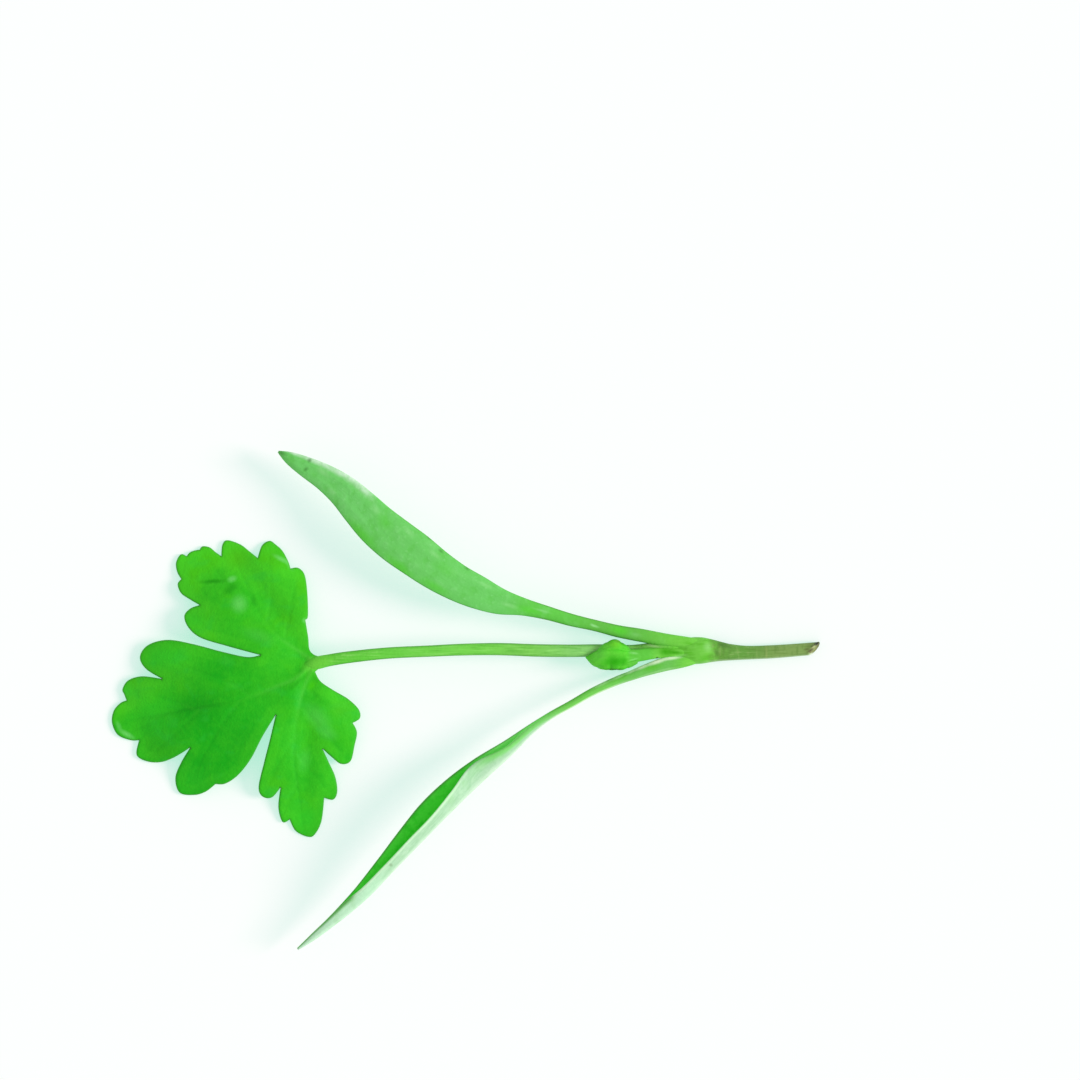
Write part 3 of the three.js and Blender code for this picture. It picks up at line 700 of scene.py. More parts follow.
def vein_fields(plan, veins, pale_until, dark_from):
    """What the veins do at each point: the ridge's height, how pale the vein is and how dark."""
    ridge = np.zeros(len(plan))
    pale = np.zeros(len(plan))
    dark = np.zeros(len(plan))
    for first, last, course in veins:
        line = spline(course, VEIN_STEP)
        parts = np.linspace(0.0, 1.0, len(line))
        for (x, y), part in zip(line, parts):
            # The ridge is a little wider than the vein, and its colour a little narrower.
            radius = first + (last - first) * part
            away = np.hypot(plan[:, 0] - x, plan[:, 1] - y)
            ridge = np.maximum(ridge, radius * np.exp(-((away / (radius + 0.04)) ** 2)))
            near = np.exp(-((away / (0.3 * radius + 0.08)) ** 2))
            pale = np.maximum(pale, near * (1.0 - smoothstep(0.3 * pale_until, pale_until, part)))
            darkness = smoothstep(dark_from, dark_from + 0.15, part) * (1.0 - smoothstep(0.85, 1.0, part))
            dark = np.maximum(dark, near * darkness)
    return ridge, pale, dark


def leaf_tone(plan):
    """The lightness of the green, blended between the listed places, and 0.5 far from all of them."""
    total = np.full(len(plan), 1e-6)
    tone = np.full(len(plan), 0.5e-6)
    for x, y, reach, lightness in LEAF_TONES:
        share = np.exp(-((np.hypot(plan[:, 0] - x, plan[:, 1] - y) / reach) ** 2))
        total += share
        tone += share * lightness
    return tone / total


def leaf_fields(plan):
    main_ridge, main_pale, main_dark = vein_fields(plan, MAIN_VEINS, pale_until=0.45, dark_from=0.42)
    side_ridge, side_pale, side_dark = vein_fields(plan, SIDE_VEINS, pale_until=0.4, dark_from=0.3)
    tone = leaf_tone(plan)
    depth = 1.0 - smoothstep(0.2, 0.6, tone)
    colours = {
        "tone": tone,
        "pale_vein": np.maximum(main_pale, 0.2 * side_pale),
        "dark_vein": np.maximum(main_dark, 0.5 * side_dark) * (0.3 + 0.7 * depth),
    }
    return main_ridge, np.maximum(main_ridge, side_ridge), colours


def leaf_height(plan):
    """Height of the middle of the blade above the surface."""
    reach = np.hypot(plan[:, 0] - DOME_X, plan[:, 1] - DOME_Y) / DOME_RADIUS
    starts = np.array([channel[0] for channel in LEAF_CHANNELS])
    ends = np.array([channel[1] for channel in LEAF_CHANNELS])
    nearest = distance_to_segments(plan, starts, ends)
    channel = VEIN_CHANNEL_DEPTH * np.exp(-((nearest / VEIN_CHANNEL_WIDTH) ** 2))
    turn = 2.0 * math.pi / WAVE_LENGTH
    wave = WAVE_HEIGHT * np.sin(plan[:, 0] * turn) * np.cos(plan[:, 1] * turn)
    away = np.hypot(plan[:, 0] - ROOT_PLACE[0], plan[:, 1] - ROOT_PLACE[1])
    root = ROOT_RISE * np.exp(-((away / ROOT_REACH) ** 2))
    dome = DOME_RISE * (1.0 - reach**2) - channel + wave
    settled = 0.5 * (dome + np.sqrt(dome**2 + DOME_FOOT**2))
    return LEAF_THICKNESS / 2.0 + root + settled


def build_true_leaf_blade(material):
    outline = leaf_outline()
    plan, triangles = leaf_plan_mesh(outline)
    margin = distance_to_segments(plan, outline, np.roll(outline, -1, axis=0))
    on_edge = margin < 1e-4
    margin[on_edge] = 0.0
    round_part = 1.0 - np.minimum(margin, LEAF_MARGIN_ROUND) / LEAF_MARGIN_ROUND
    edge = np.sqrt(np.maximum(0.0, 1.0 - round_part**2))
    main_ridge, ridge, colours = leaf_fields(plan)
    middle = leaf_height(plan)
    from_root = np.hypot(plan[:, 0] - VEIN_ROOT[0], plan[:, 1] - VEIN_ROOT[1])
    root = np.exp(-((from_root / VEIN_ROOT_REACH) ** 2))
    veins = VEIN_RISE * main_ridge * root - VEIN_GROOVE * ridge * (1.0 - root)
    above = edge * (LEAF_THICKNESS / 2.0 + veins)
    below = edge * (LEAF_THICKNESS / 2.0 + VEIN_UNDERSIDE * ridge)
    top = np.column_stack([plan, middle + above])
    bottom = np.column_stack([plan, np.maximum(middle - below, 0.0)])
    inner = np.flatnonzero(~on_edge)
    under = np.arange(len(plan))
    under[inner] = len(plan) + np.arange(len(inner))
    points = np.vstack([top, bottom[inner]])
    faces = []
    for a, b, c in triangles:
        faces.append((a, b, c))
        faces.append((int(under[a]), int(under[c]), int(under[b])))
    both = np.concatenate([np.arange(len(plan)), inner])
    attributes = {name: values[both] for name, values in colours.items()}
    attributes["margin"] = margin[both]
    attributes["stalk"] = np.zeros(len(both))
    attributes["underside"] = np.concatenate([np.where(on_edge, 0.5, 0.0), np.ones(len(inner))])
    make_piece("true_leaf_blade", points, faces, attributes, material, "true_leaf")


def stalk_rings(stations, step=RING_STEP):
    """Oval rings along a stalk, and the angle of each of their points."""
    values, directions, _ = read_stations(stations, step)
    across, upwards = axes_across(directions, np.zeros(len(values)))
    angles = np.linspace(0.0, 2.0 * math.pi, STALK_SIDES, endpoint=False)
    half_width = np.maximum(SMALLEST, values[:, 3:4])
    half_height = np.maximum(SMALLEST, values[:, 4:5])
    rings = place_sections(
        values, across, upwards, half_width * np.cos(angles), half_height * np.sin(angles),
    )
    return rings, angles


def build_true_leaf_stalk(material):
    rings, angles = stalk_rings(TRUE_LEAF_STALK)
    points, faces = loft(rings)
    _, _, attributes = leaf_fields(points[:, :2])
    attributes["margin"] = np.ones(len(points))
    attributes["stalk"] = np.ones(len(points))
    attributes["across"] = per_point(np.cos(angles), rings)
    attributes["underside"] = per_point(np.where(np.sin(angles) < 0.0, 1.0, 0.0), rings)
    make_piece("true_leaf_stalk", points, faces, attributes, material, "true_leaf")


# Seed leaves

def build_upper_seed_leaf(material):
    values, directions, at = read_stations(UPPER_SEED_LEAF, RING_STEP)
    across, upwards = axes_across(directions, values[:, 6])
    angles = np.linspace(0.0, 2.0 * math.pi, BLADE_SIDES, endpoint=False)
    blade = smoothstep(*FLAT_STALK_TO_BLADE, values[:, 3])
    exponent = (STALK_SQUARENESS + (BLADE_SQUARENESS - STALK_SQUARENESS) * blade)[:, None]
    u = signed_power(np.cos(angles)[None, :], 2.0 / exponent)
    v = signed_power(np.sin(angles)[None, :], 2.0 / exponent)
    half_width = np.maximum(SMALLEST, values[:, 3])[:, None]
    thickness = np.maximum(SMALLEST, values[:, 4] * (1.0 - BLADE_THINNING * blade))[:, None]
    midrib = MIDRIB_DEPTH * blade[:, None] * np.exp(-((u / MIDRIB_WIDTH) ** 2))
    lift = thickness * v + values[:, 5][:, None] * (0.5 - u * u) - midrib
    rings = place_sections(values, across, upwards, half_width * u, lift)
    points, faces = loft(rings)
    attributes = {
        "along": per_point(at[:, None], rings),
        "across": per_point(u, rings),
        "underside": per_point(np.where(v < 0.0, 1.0, 0.0), rings),
    }
    make_piece(
        "seed_leaf_upper_blade", points, faces, attributes, material, "seed_leaf_upper",
    )


def folded_ring(half, lower_length, lower_angle, upper_length, upper_angle):
    """One section of a folded blade, in the plane of p, inwards from the fold, and q, upwards.

    Returns the points, and for each one how far it is towards its margin and if it is on the inner face."""
    lower, upper = math.radians(lower_angle), math.radians(upper_angle)
    bisector = (lower + upper) / 2.0
    opening = (upper - lower) / 2.0
    thin = min(1.0, max(0.0, (lower_length - half) / (2.0 * half)))
    squareness = 2.0 + 8.0 * thin
    parts = np.sin(np.linspace(0.0, math.pi / 2.0, SECTION_POINTS))
    offsets = half * np.sqrt(np.maximum(0.0, 1.0 - parts**squareness))

    def along(angle, length, side, offset):
        return np.stack([
            math.cos(angle) * length - math.sin(angle) * side * offset,
            math.sin(angle) * length + math.cos(angle) * side * offset,
        ], axis=-1)

    def inner(angle, length, side):
        flat = along(angle, length * parts[1:], side, offsets[1:])
        forwards = flat[:, 0] * math.cos(bisector) + flat[:, 1] * math.sin(bisector)
        sideways = (flat[:, 1] * math.cos(bisector) - flat[:, 0] * math.sin(bisector)) * -side
        kept = np.maximum(sideways, FACES_APART) * -side
        return np.stack([
            forwards * math.cos(bisector) - kept * math.sin(bisector),
            forwards * math.sin(bisector) + kept * math.cos(bisector),
        ], axis=-1)

    outer_upper = along(upper, upper_length * parts, 1.0, offsets)[::-1]
    outer_lower = along(lower, lower_length * parts, -1.0, offsets)
    turn = np.linspace(upper + math.pi / 2.0, lower + 1.5 * math.pi, BEND_POINTS)[1:-1]
    bend = half * np.stack([np.cos(turn), np.sin(turn)], axis=-1)
    crotch = min(half / math.sin(opening), CROTCH_LIMIT * min(lower_length, upper_length))
    crotch = max(crotch, half * (1.0 - thin))
    middle = crotch * np.array([[math.cos(bisector), math.sin(bisector)]])
    inner_lower = inner(lower, lower_length, 1.0)[::-1][1:]
    inner_upper = inner(upper, upper_length, -1.0)[:-1]
    points = np.vstack([outer_upper, bend, outer_lower, inner_lower, middle, inner_upper])
    towards = np.concatenate([
        parts[::-1], np.zeros(len(bend)), -parts, -parts[1:][::-1][1:], [0.0], parts[1:][:-1],
    ])
    face = np.concatenate([
        np.zeros(len(outer_upper) + len(bend) + len(outer_lower)),
        np.ones(len(inner_lower) + 1 + len(inner_upper)),
    ])
    return points, towards, face


def build_lower_seed_leaf(material):
    values, directions, at = read_stations(LOWER_SEED_LEAF, RING_STEP)
    rings, towards, faces_in = [], [], []
    for row, direction in zip(values, directions):
        x, y, z, half, lower_length, lower_angle, upper_length, upper_angle = row
        blade = float(smoothstep(*FOLDED_STALK_TO_BLADE, lower_length))
        thin_half = half * (1.0 - BLADE_THINNING * blade)
        inwards = unit(np.array([direction[1], -direction[0], 0.0]))
        fold = np.array([x, y, z]) + inwards * thin_half
        lower_length += half - thin_half
        section, toward, face = folded_ring(
            thin_half, lower_length, lower_angle, upper_length, upper_angle,
        )
        ring = fold + section[:, :1] * inwards + section[:, 1:] * UP
        rings.append(ring[::-1])
        towards.append(toward[::-1])
        faces_in.append(face[::-1])
    rings = np.array(rings)
    points, faces = loft(rings)
    attributes = {
        "along": per_point(at[:, None], rings),
        "across": per_point(towards, rings),
        "inner": per_point(faces_in, rings),
    }
    make_piece(
        "seed_leaf_lower_blade", points, faces, attributes, material, "seed_leaf_lower",
    )


# Stem

def build_stem(material):
    rings, angles = stalk_rings(STEM)
    normal = unit(CUT_NORMAL)
    beyond = (rings - CUT_POINT) @ normal
    last = int(np.argmax(beyond.min(axis=1) > 0.0)) or len(rings) - 1
    rings = rings[: last + 1]
    beyond = np.maximum(0.0, beyond[: last + 1])
    rings[:, :, 0] -= beyond / normal[0]
    rings[:, :, 2] = np.maximum(0.0, rings[:, :, 2])
    points, faces = loft(rings)
    points[-1] -= normal * CUT_HOLLOW
    attributes = {
        "across": per_point(np.cos(angles), rings),
        "pith": np.append(np.zeros(len(points) - 1), 1.0),
    }
    make_piece("stem", points, faces, attributes, material, "hypocotyl")


# Small folded leaf

def leaflet_rings(stations, teeth):
    """A leaflet folded down on both sides of its midrib like a tent, with toothed margins."""
    values, directions, at = read_stations(stations, FOLDED_RING_STEP)
    across, upwards = axes_across(directions, np.zeros(len(values)))
    part = at / at[-1]
    notches = (1.0 - np.abs(np.sin(math.pi * teeth * part)) ** 0.7) * smoothstep(0.1, 0.3, part)
    half_width = np.maximum(SMALLEST_LEAFLET, values[:, 3] * (1.0 - TOOTH_SHARE * notches))[:, None]
    half_height = np.maximum(SMALLEST_LEAFLET, values[:, 4])[:, None]
    outer = np.linspace(1.0, -1.0, 21)
    inner = np.linspace(-0.9, 0.9, 19)
    u = np.concatenate([outer, inner])
    tent = half_height * (1.0 - TENT_DROP * np.abs(u) ** TENT_CURVE)
    pleats = half_height * PLEAT_HEIGHT * np.cos(3.0 * math.pi * outer) * (1.0 - outer**2)
    skin = np.minimum(LEAFLET_SKIN, 0.9 * half_height) * np.ones(len(inner))
    lift = tent + np.hstack([pleats, -skin])
    rings = place_sections(values, across, upwards, half_width * u, lift)
    face = np.concatenate([np.zeros(len(outer)), np.ones(len(inner))])
    return rings, u, face


def build_folded_leaf(material):
    rings, _ = stalk_rings(FOLDED_LEAF_STALK, FOLDED_STALK_STEP)
    points, faces = loft(rings)
    points, faces = list(points), list(faces)
    across = list(np.zeros(len(points)))
    underside = list(np.zeros(len(points)))
    for stations, teeth in zip(FOLDED_LEAFLETS, LEAFLET_TEETH):
        rings, u, face = leaflet_rings(stations, teeth)
        part_points, part_faces = loft(rings)
        start = len(points)
        points.extend(part_points)
        faces.extend(tuple(start + i for i in corners) for corners in part_faces)
        across.extend(per_point(u, rings))
        underside.extend(per_point(face, rings))
    attributes = {"across": across, "underside": underside}
    make_piece(
        "folded_leaf_blades", points, faces, attributes, material, "folded_leaf",
    )


# Surfaces

def true_leaf_surface():
    s = Surface("true_leaf_green")
    margin = s.attribute("margin")
    mottle = s.noise(1.5, 3.0)
    fine = s.noise(0.4, 3.0)
    rim = s.times(s.band(margin, 0.2, 0.9, 0.15), s.noise(3.0))
    tone = s.add(s.attribute("tone"), s.vary(mottle, 0.5), s.vary(fine, 0.5), s.times(rim, 0.3))
    base = s.paint((21, 170, 19), (68, 200, 30), tone)
    patches = s.ramp(s.noise(2.6, 3.0), 0.5, 0.68)
    base.coat((70, 192, 4), s.times(patches, s.attribute("tone"), 0.6))
    base.coat((40, 188, 52), s.ramp(s.noise(1.9, 2.0, (1.0, 1.4, 1.0)), 0.54, 0.74, 0.0, 0.35))
    base.coat((16, 142, 16), s.times(s.attribute("dark_vein"), 0.42))
    base.coat((92, 206, 66), s.times(s.attribute("pale_vein"), 0.36))
    # Painted glints: small pale highlights where the glossy blade catches the light.
    painted_glints = [
        [-19.75, 10.2, 0.6, 0.4, 20, 0.6],
        [-19.1, 8.1, 1.0, 1.1, 10, 0.45],
        [-15.6, 11.9, 1.1, 0.3, -28, 0.7],
        [-14.9, 11.5, 0.9, 0.4, -60, 0.4],
        [-13.5, 6.7, 0.4, 0.35, 0, 0.6],
        [-28.7, -3.0, 1.1, 0.35, -30, 0.7],
        [-29.4, -2.3, 0.7, 0.3, -65, 0.4],
    ]
    base.spots((120, 218, 112), painted_glints)
    # Painted sheen: broad soft pale patches of reflected light on the blade.
    painted_soft_sheen = [
        [-12.4, -1.6, 2.2, 1.2, -50, 0.5],
        [-11.6, -2.9, 1.3, 0.8, -20, 0.4],
        [-13.6, -5.2, 1.6, 0.8, 80, 0.3],
        [-17.4, 5.4, 2.2, 0.9, -20, 0.3],
    ]
    base.spots((84, 204, 76), painted_soft_sheen)
    dark_spots = [
        [-21.4, 10.0, 1.7, 0.3, 4, 0.8],
        [-19.9, 9.35, 1.0, 0.55, 35, 0.6],
        [-17.9, 8.3, 0.35, 0.8, 0, 0.45],
        [-14.3, 1.3, 1.3, 0.25, 43, 0.5],
        [-26.3, -1.6, 1.8, 0.25, 12, 0.3],
    ]
    base.spots((24, 146, 6), dark_spots)
    base.spots((66, 200, 4), [[-12.95, 1.2, 0.8, 0.5, 60, 0.7]])
    base.spots((30, 176, 0), [[-14.7, 0.6, 1.0, 0.6, 40, 0.5]])
    # Painted light: lifts the green where the blade slopes away from the sun and lies in its shade.
    painted_light_spots = [
        [-25.5, 3.6, 3.2, 1.7, 0, 0.5],
        [-26.4, -1.6, 3.4, 3.4, 0, 0.35],
        [-28.6, 0.7, 1.2, 1.2, 0, 0.3],
        [-23.0, -6.9, 2.2, 2.0, 0, 0.25],
        [-22.8, 6.6, 2.0, 1.5, 0, 0.35],
        [-13.6, -10.2, 2.2, 2.2, 0, 0.4],
    ]
    base.spots((52, 216, 42), painted_light_spots)
    yellower = [
        [-19.4, 12.0, 1.8, 1.6, 0, 0.6],
        [-16.4, 12.0, 1.2, 1.2, 0, 0.3],
        [-10.6, -0.8, 1.5, 1.2, 0, 0.35],
    ]
    base.spots((76, 184, 4), yellower)
    base.coat((66, 142, 42), s.ramp(margin, 0.02, 0.16, 0.6, 0.0))
    veins = s.math("MAXIMUM", s.attribute("pale_vein"), s.attribute("dark_vein"))
    under = s.paint((104, 184, 84), (124, 198, 104), mottle)
    under.coat((156, 216, 136), s.times(veins, 0.8))
    base.coat(under, s.times(s.attribute("underside"), 0.9))
    stalk = stalk_colour(s)
    base.coat(stalk, s.times(s.attribute("stalk"), s.ramp(s.x, -13.6, -12.2)))
    # Where the stalk meets the blade: its own pale yellow-green, painted lighter still to lift the shade
    # there.
    base.spots((114, 220, 66), [[-12.1, 3.2, 1.7, 0.9, 18, 1.0], [-12.9, 3.0, 1.3, 0.8, 30, 0.6]])
    relief = s.add(s.times(mottle, 0.5), s.times(fine, 0.35), s.times(s.cells(0.28), 0.25))
    roughness = s.ramp(mottle, 0.3, 0.7, 0.5, 0.62)
    return s.finish(base, roughness, 0.12, relief, 0.09)


def stalk_colour(s):
    """Yellow-green where the stalk meets the blade, greyer towards the crown, with fine long streaks and
    painted shade along its edges.
    """
    across = s.attribute("across")
    streaks = s.noise(0.16, 2.0, (0.06, 1.0, 1.0))
    base = s.paint((100, 205, 62), (118, 211, 78), s.ramp(s.x, -10.0, 0.0))
    base.coat((120, 200, 82), s.ramp(s.x, 1.0, 5.0))
    base.coat((132, 200, 108), s.ramp(s.x, 5.0, 11.0))
    base.coat((110, 184, 76), s.ramp(s.x, 12.5, 15.0))
    base.coat(crown_colour(s), s.ramp(s.x, 15.5, 18.0))
    base.coat((150, 226, 112), s.ramp(streaks, 0.52, 0.72, 0.0, 0.5))
    base.coat((80, 172, 48), s.ramp(streaks, 0.48, 0.3, 0.0, 0.5))
    base.spots((160, 200, 132), [[15.9, 4.55, 1.1, 0.16, -12, 0.7]])
    # Painted shade: the stalk's edges are darker where its round sides turn from the light.
    painted_shade_edges = s.times(s.ramp(s.math("ABSOLUTE", across), 0.72, 1.0, 0.0, 0.7), s.band(s.x, -11.5, 15.0, 0.8))
    base.coat((72, 150, 44), painted_shade_edges)
    return base


def upper_seed_leaf_surface():
    s = Surface("seed_leaf_green")
    across = s.attribute("across")
    along = s.attribute("along")
    on_leaf = s.joined(s.times(along, 0.35), s.times(across, 3.0), s.z)
    clouds = s.noise(1.0, 3.0)
    fine = s.noise(0.3, 3.0)
    lines = s.noise(0.35, 2.0, along=on_leaf)
    base = s.paint((113, 208, 105), (107, 201, 97), s.ramp(s.x, -9.5, -6.0))
    base.coat((95, 195, 70), s.ramp(s.x, 2.5, 6.5))
    base.coat((96, 182, 67), s.ramp(s.x, 7.5, 12.0))
    base.coat(CROWN_GREEN, s.ramp(s.x, 14.0, 18.5))
    is_blade = s.ramp(s.x, 7.5, 4.0)
    base.coat((130, 214, 122), s.times(s.ramp(clouds, 0.5, 0.7), s.ramp(s.x, 12.0, 4.0, 0.12, 0.38)))
    base.coat((88, 190, 66), s.ramp(clouds, 0.48, 0.3, 0.0, 0.4))
    base.coat((142, 220, 136), s.times(s.ramp(fine, 0.56, 0.75), is_blade, 0.32))
    base.coat((88, 184, 74), s.ramp(lines, 0.5, 0.32, 0.0, 0.14))
    greener = [
        [-8.7, 14.0, 3.0, 0.8, -47, 0.7],
        [-5.5, 11.2, 2.6, 0.7, -40, 0.7],
        [-2.6, 9.6, 2.2, 0.6, -28, 0.6],
        [-6.8, 15.0, 1.4, 0.9, -45, 0.35],
        [-1.6, 11.0, 1.8, 0.7, -30, 0.3],
        [5.4, 7.6, 1.6, 0.5, -14, 0.6],
        [13.1, 5.85, 1.4, 0.55, -12, 0.8],
    ]
    base.spots((84, 206, 44), greener)
    # Pale specks of the blade. The rows at x = 11.0 and 10.8 are a painted glint on the stalk.
    pale = [
        [-12.0, 19.3, 0.9, 0.4, -35, 0.5],
        [-11.2, 17.6, 0.7, 0.4, -40, 0.4],
        [-7.5, 16.1, 0.8, 0.4, -42, 0.35],
        [-4.7, 14.2, 0.9, 0.35, -38, 0.4],
        [-2.5, 12.3, 0.9, 0.3, -36, 0.4],
        [1.8, 9.7, 1.1, 0.3, -24, 0.4],
        [3.8, 8.0, 1.2, 0.3, -18, 0.4],
        [6.5, 7.55, 1.2, 0.16, -16, 0.4],
        [11.0, 6.24, 0.6, 0.16, -18, 0.8],
        [10.8, 6.34, 0.3, 0.14, -50, 0.5],
        [14.5, 5.5, 0.8, 0.25, -12, 0.2],
    ]
    base.spots((160, 228, 150), pale, 0.75)
    # Painted sheen: a pale haze of reflected light along the outer margin, where the blade rolls down.
    painted_sheen_haze = s.times(s.ramp(across, -0.5, -0.95), s.band(s.x, -14.8, -7.9, 0.7))
    base.coat((210, 238, 210), s.times(painted_sheen_haze, s.ramp(clouds, 0.3, 0.6, 0.5, 0.95)))
    base.spots((150, 178, 150), [[-8.3, 18.1, 1.0, 0.22, -44, 0.6]])
    inner_margin = s.times(s.ramp(across, 0.93, 1.0), s.ramp(s.x, 9.0, 5.0), 0.5)
    base.coat((66, 146, 48), inner_margin)
    outer_margin = s.times(s.ramp(across, -0.93, -1.0), s.ramp(s.x, -7.5, -5.0), 0.5)
    base.coat((84, 160, 60), outer_margin)
    # Painted shade: the stalk's edges are darker where its round sides turn from the light.
    painted_shade_stalk_edges = s.times(s.ramp(s.math("ABSOLUTE", across), 0.7, 1.0), s.band(s.x, 6.0, 15.0, 1.0), 0.7)
    base.coat((76, 152, 46), painted_shade_stalk_edges)
    dark = [
        [-13.1, 20.25, 0.3, 0.3, 0, 0.7],
        [-13.4, 19.5, 0.35, 0.25, 30, 0.6],
        [-15.5, 20.9, 0.6, 0.35, -30, 0.6],
        [-2.0, 12.6, 0.45, 0.2, -38, 0.5],
        [0.2, 11.1, 0.45, 0.2, -34, 0.5],
        [-3.0, 13.7, 0.4, 0.2, -40, 0.4],
    ]
    base.spots((52, 120, 40), dark)
    base.coat((176, 226, 170), s.times(s.attribute("underside"), s.ramp(s.x, 6.5, 2.5), 0.9))
    base.coat(crown_colour(s), s.ramp(s.x, 16.8, 18.6))
    relief = s.add(s.times(clouds, 0.5), s.times(fine, 0.35), s.times(lines, 0.12))
    return s.finish(base, s.ramp(clouds, 0.3, 0.7, 0.6, 0.72), 0.12, relief, 0.09)


def crown_colour(s):
    """The green of the crown, shared by every organ that grows from it, with soft long streaks."""
    streaks = s.noise(0.35, 2.0, (0.25, 1.0, 0.4))
    base = s.paint(CROWN_GREEN, (94, 188, 44), s.ramp(streaks, 0.5, 0.7, 0.0, 0.8))
    base.coat((128, 212, 84), s.ramp(streaks, 0.48, 0.3, 0.0, 0.5))
    # Painted shade: a dark green wedge in the opening between the sheathing stalk bases.
    base.spots((60, 164, 6), [[17.0, 4.04, 1.1, 0.6, 0, 1.0], [17.8, 3.98, 1.2, 0.26, -3, 1.0]])
    base.spots((88, 190, 30), [[20.4, 3.5, 0.9, 0.4, 10, 0.5], [18.8, 3.95, 1.0, 0.16, 0, 0.5]])
    # The spot on the crown's bulge at x = 20.6 is a painted highlight.
    base.spots((154, 224, 126), [[20.6, 4.45, 0.6, 0.6, 60, 0.6], [18.0, 3.62, 1.2, 0.2, 12, 0.6]])
    return base


def lower_seed_leaf_surface():
    s = Surface("folded_seed_leaf_green")
    across = s.attribute("across")
    inner = s.attribute("inner")
    on_leaf = s.joined(s.times(s.attribute("along"), 0.3), s.times(across, 2.5), s.z)
    lines = s.noise(0.3, 3.0, along=on_leaf)
    clouds = s.noise(0.9, 3.0)
    pale = s.paint((168, 208, 170), (156, 200, 158), s.ramp(lines, 0.4, 0.65))
    pale.coat((182, 218, 182), s.ramp(clouds, 0.5, 0.7, 0.0, 0.6))
    pale.coat((214, 238, 212), s.ramp(across, 0.32, -0.05, 0.0, 0.7))
    pale.coat((188, 232, 196), s.ramp(s.x, -5.5, -8.5, 0.0, 0.6))
    pale.coat((150, 204, 142), s.ramp(s.noise(1.3, 2.0), 0.54, 0.7, 0.0, 0.4))
    # Painted highlight: a bright white line where light catches the upper half's margin near the tip.
    painted_rim_highlight = s.times(s.ramp(across, 0.84, 1.0), s.ramp(s.x, 1.0, -1.5), 0.7)
    pale.coat((214, 250, 208), painted_rim_highlight)
    green_rim = s.times(s.ramp(across, 0.3, 0.9), s.band(s.x, 1.2, 9.0, 1.4), 0.9)
    pale.coat((116, 206, 98), green_rim)
    # The inner face's own green, set brighter than it is to lift the shade inside the fold: partly painted
    # light.
    green = s.paint((80, 232, 62), (54, 218, 42), s.ramp(clouds, 0.42, 0.66))
    green.coat((124, 240, 108), s.ramp(s.x, -0.8, 3.0))
    green.coat((74, 138, 60), s.times(s.ramp(across, -0.88, -0.98), 0.7))
    pale.coat((70, 150, 56), s.times(s.ramp(across, -0.8, -0.97), s.ramp(s.x, -13.8, -11.0), 0.9))
    tip_rim = s.times(s.ramp(across, 0.6, 1.0), s.band(s.x, -14.2, -9.4, 0.4), 0.9)
    pale.coat((84, 176, 66), tip_rim)
    stalk_outside = s.paint((196, 232, 178), (112, 200, 82), s.ramp(across, 0.0, 0.5))
    sheath = s.times(s.ramp(s.x, 11.5, 14.5), s.ramp(across, -0.3, 0.12))
    stalk_outside.coat((106, 190, 84), sheath)
    stalk_inside = s.paint((104, 200, 74), (84, 166, 58), s.ramp(across, -0.6, -1.0))
    base = s.paint(pale, stalk_outside, s.ramp(s.x, 5.5, 9.0))
    inside_face = s.paint(green, stalk_inside, s.ramp(s.x, 5.0, 8.5))
    base.spots((84, 188, 30), [[15.9, 2.7, 1.4, 0.4, 14, 0.7], [13.2, 1.8, 1.4, 0.3, 22, 0.5]])
    base.coat(inside_face, inner)
    base.spots((120, 150, 110), [[-6.2, -13.9, 0.24, 0.24, 0, 0.7]])
    base.spots((150, 190, 140), [[-8.9, -17.6, 0.8, 0.14, 45, 0.5]])
    base.coat(crown_colour(s), s.ramp(s.x, 17.0, 19.0))
    # The pale edge of the sheath, painted whiter than its own colour to lift it out of the shade it lies in.
    sheath_edge = [
        [14.1, 2.46, 0.9, 0.26, 26, 0.8],
        [15.0, 2.84, 1.2, 0.32, 22, 1.0],
        [16.2, 3.24, 1.4, 0.34, 16, 1.0],
        [17.5, 3.54, 1.5, 0.28, 8, 0.8],
    ]
    base.spots((236, 255, 220), sheath_edge)
    # Pale marks along the stalk's top edge, painted over the shade of the crotch beneath it: partly painted
    # light.
    upper_edge = [
        [11.6, 1.34, 1.3, 0.22, 24, 0.8],
        [13.0, 1.94, 1.1, 0.22, 23, 0.8],
    ]
    base.spots((178, 234, 156), upper_edge)
    relief = s.add(s.times(clouds, 0.4), s.times(lines, 0.5), s.times(s.noise(0.25, 2.0), 0.3))
    return s.finish(base, 0.66, 0.12, relief, 0.08)


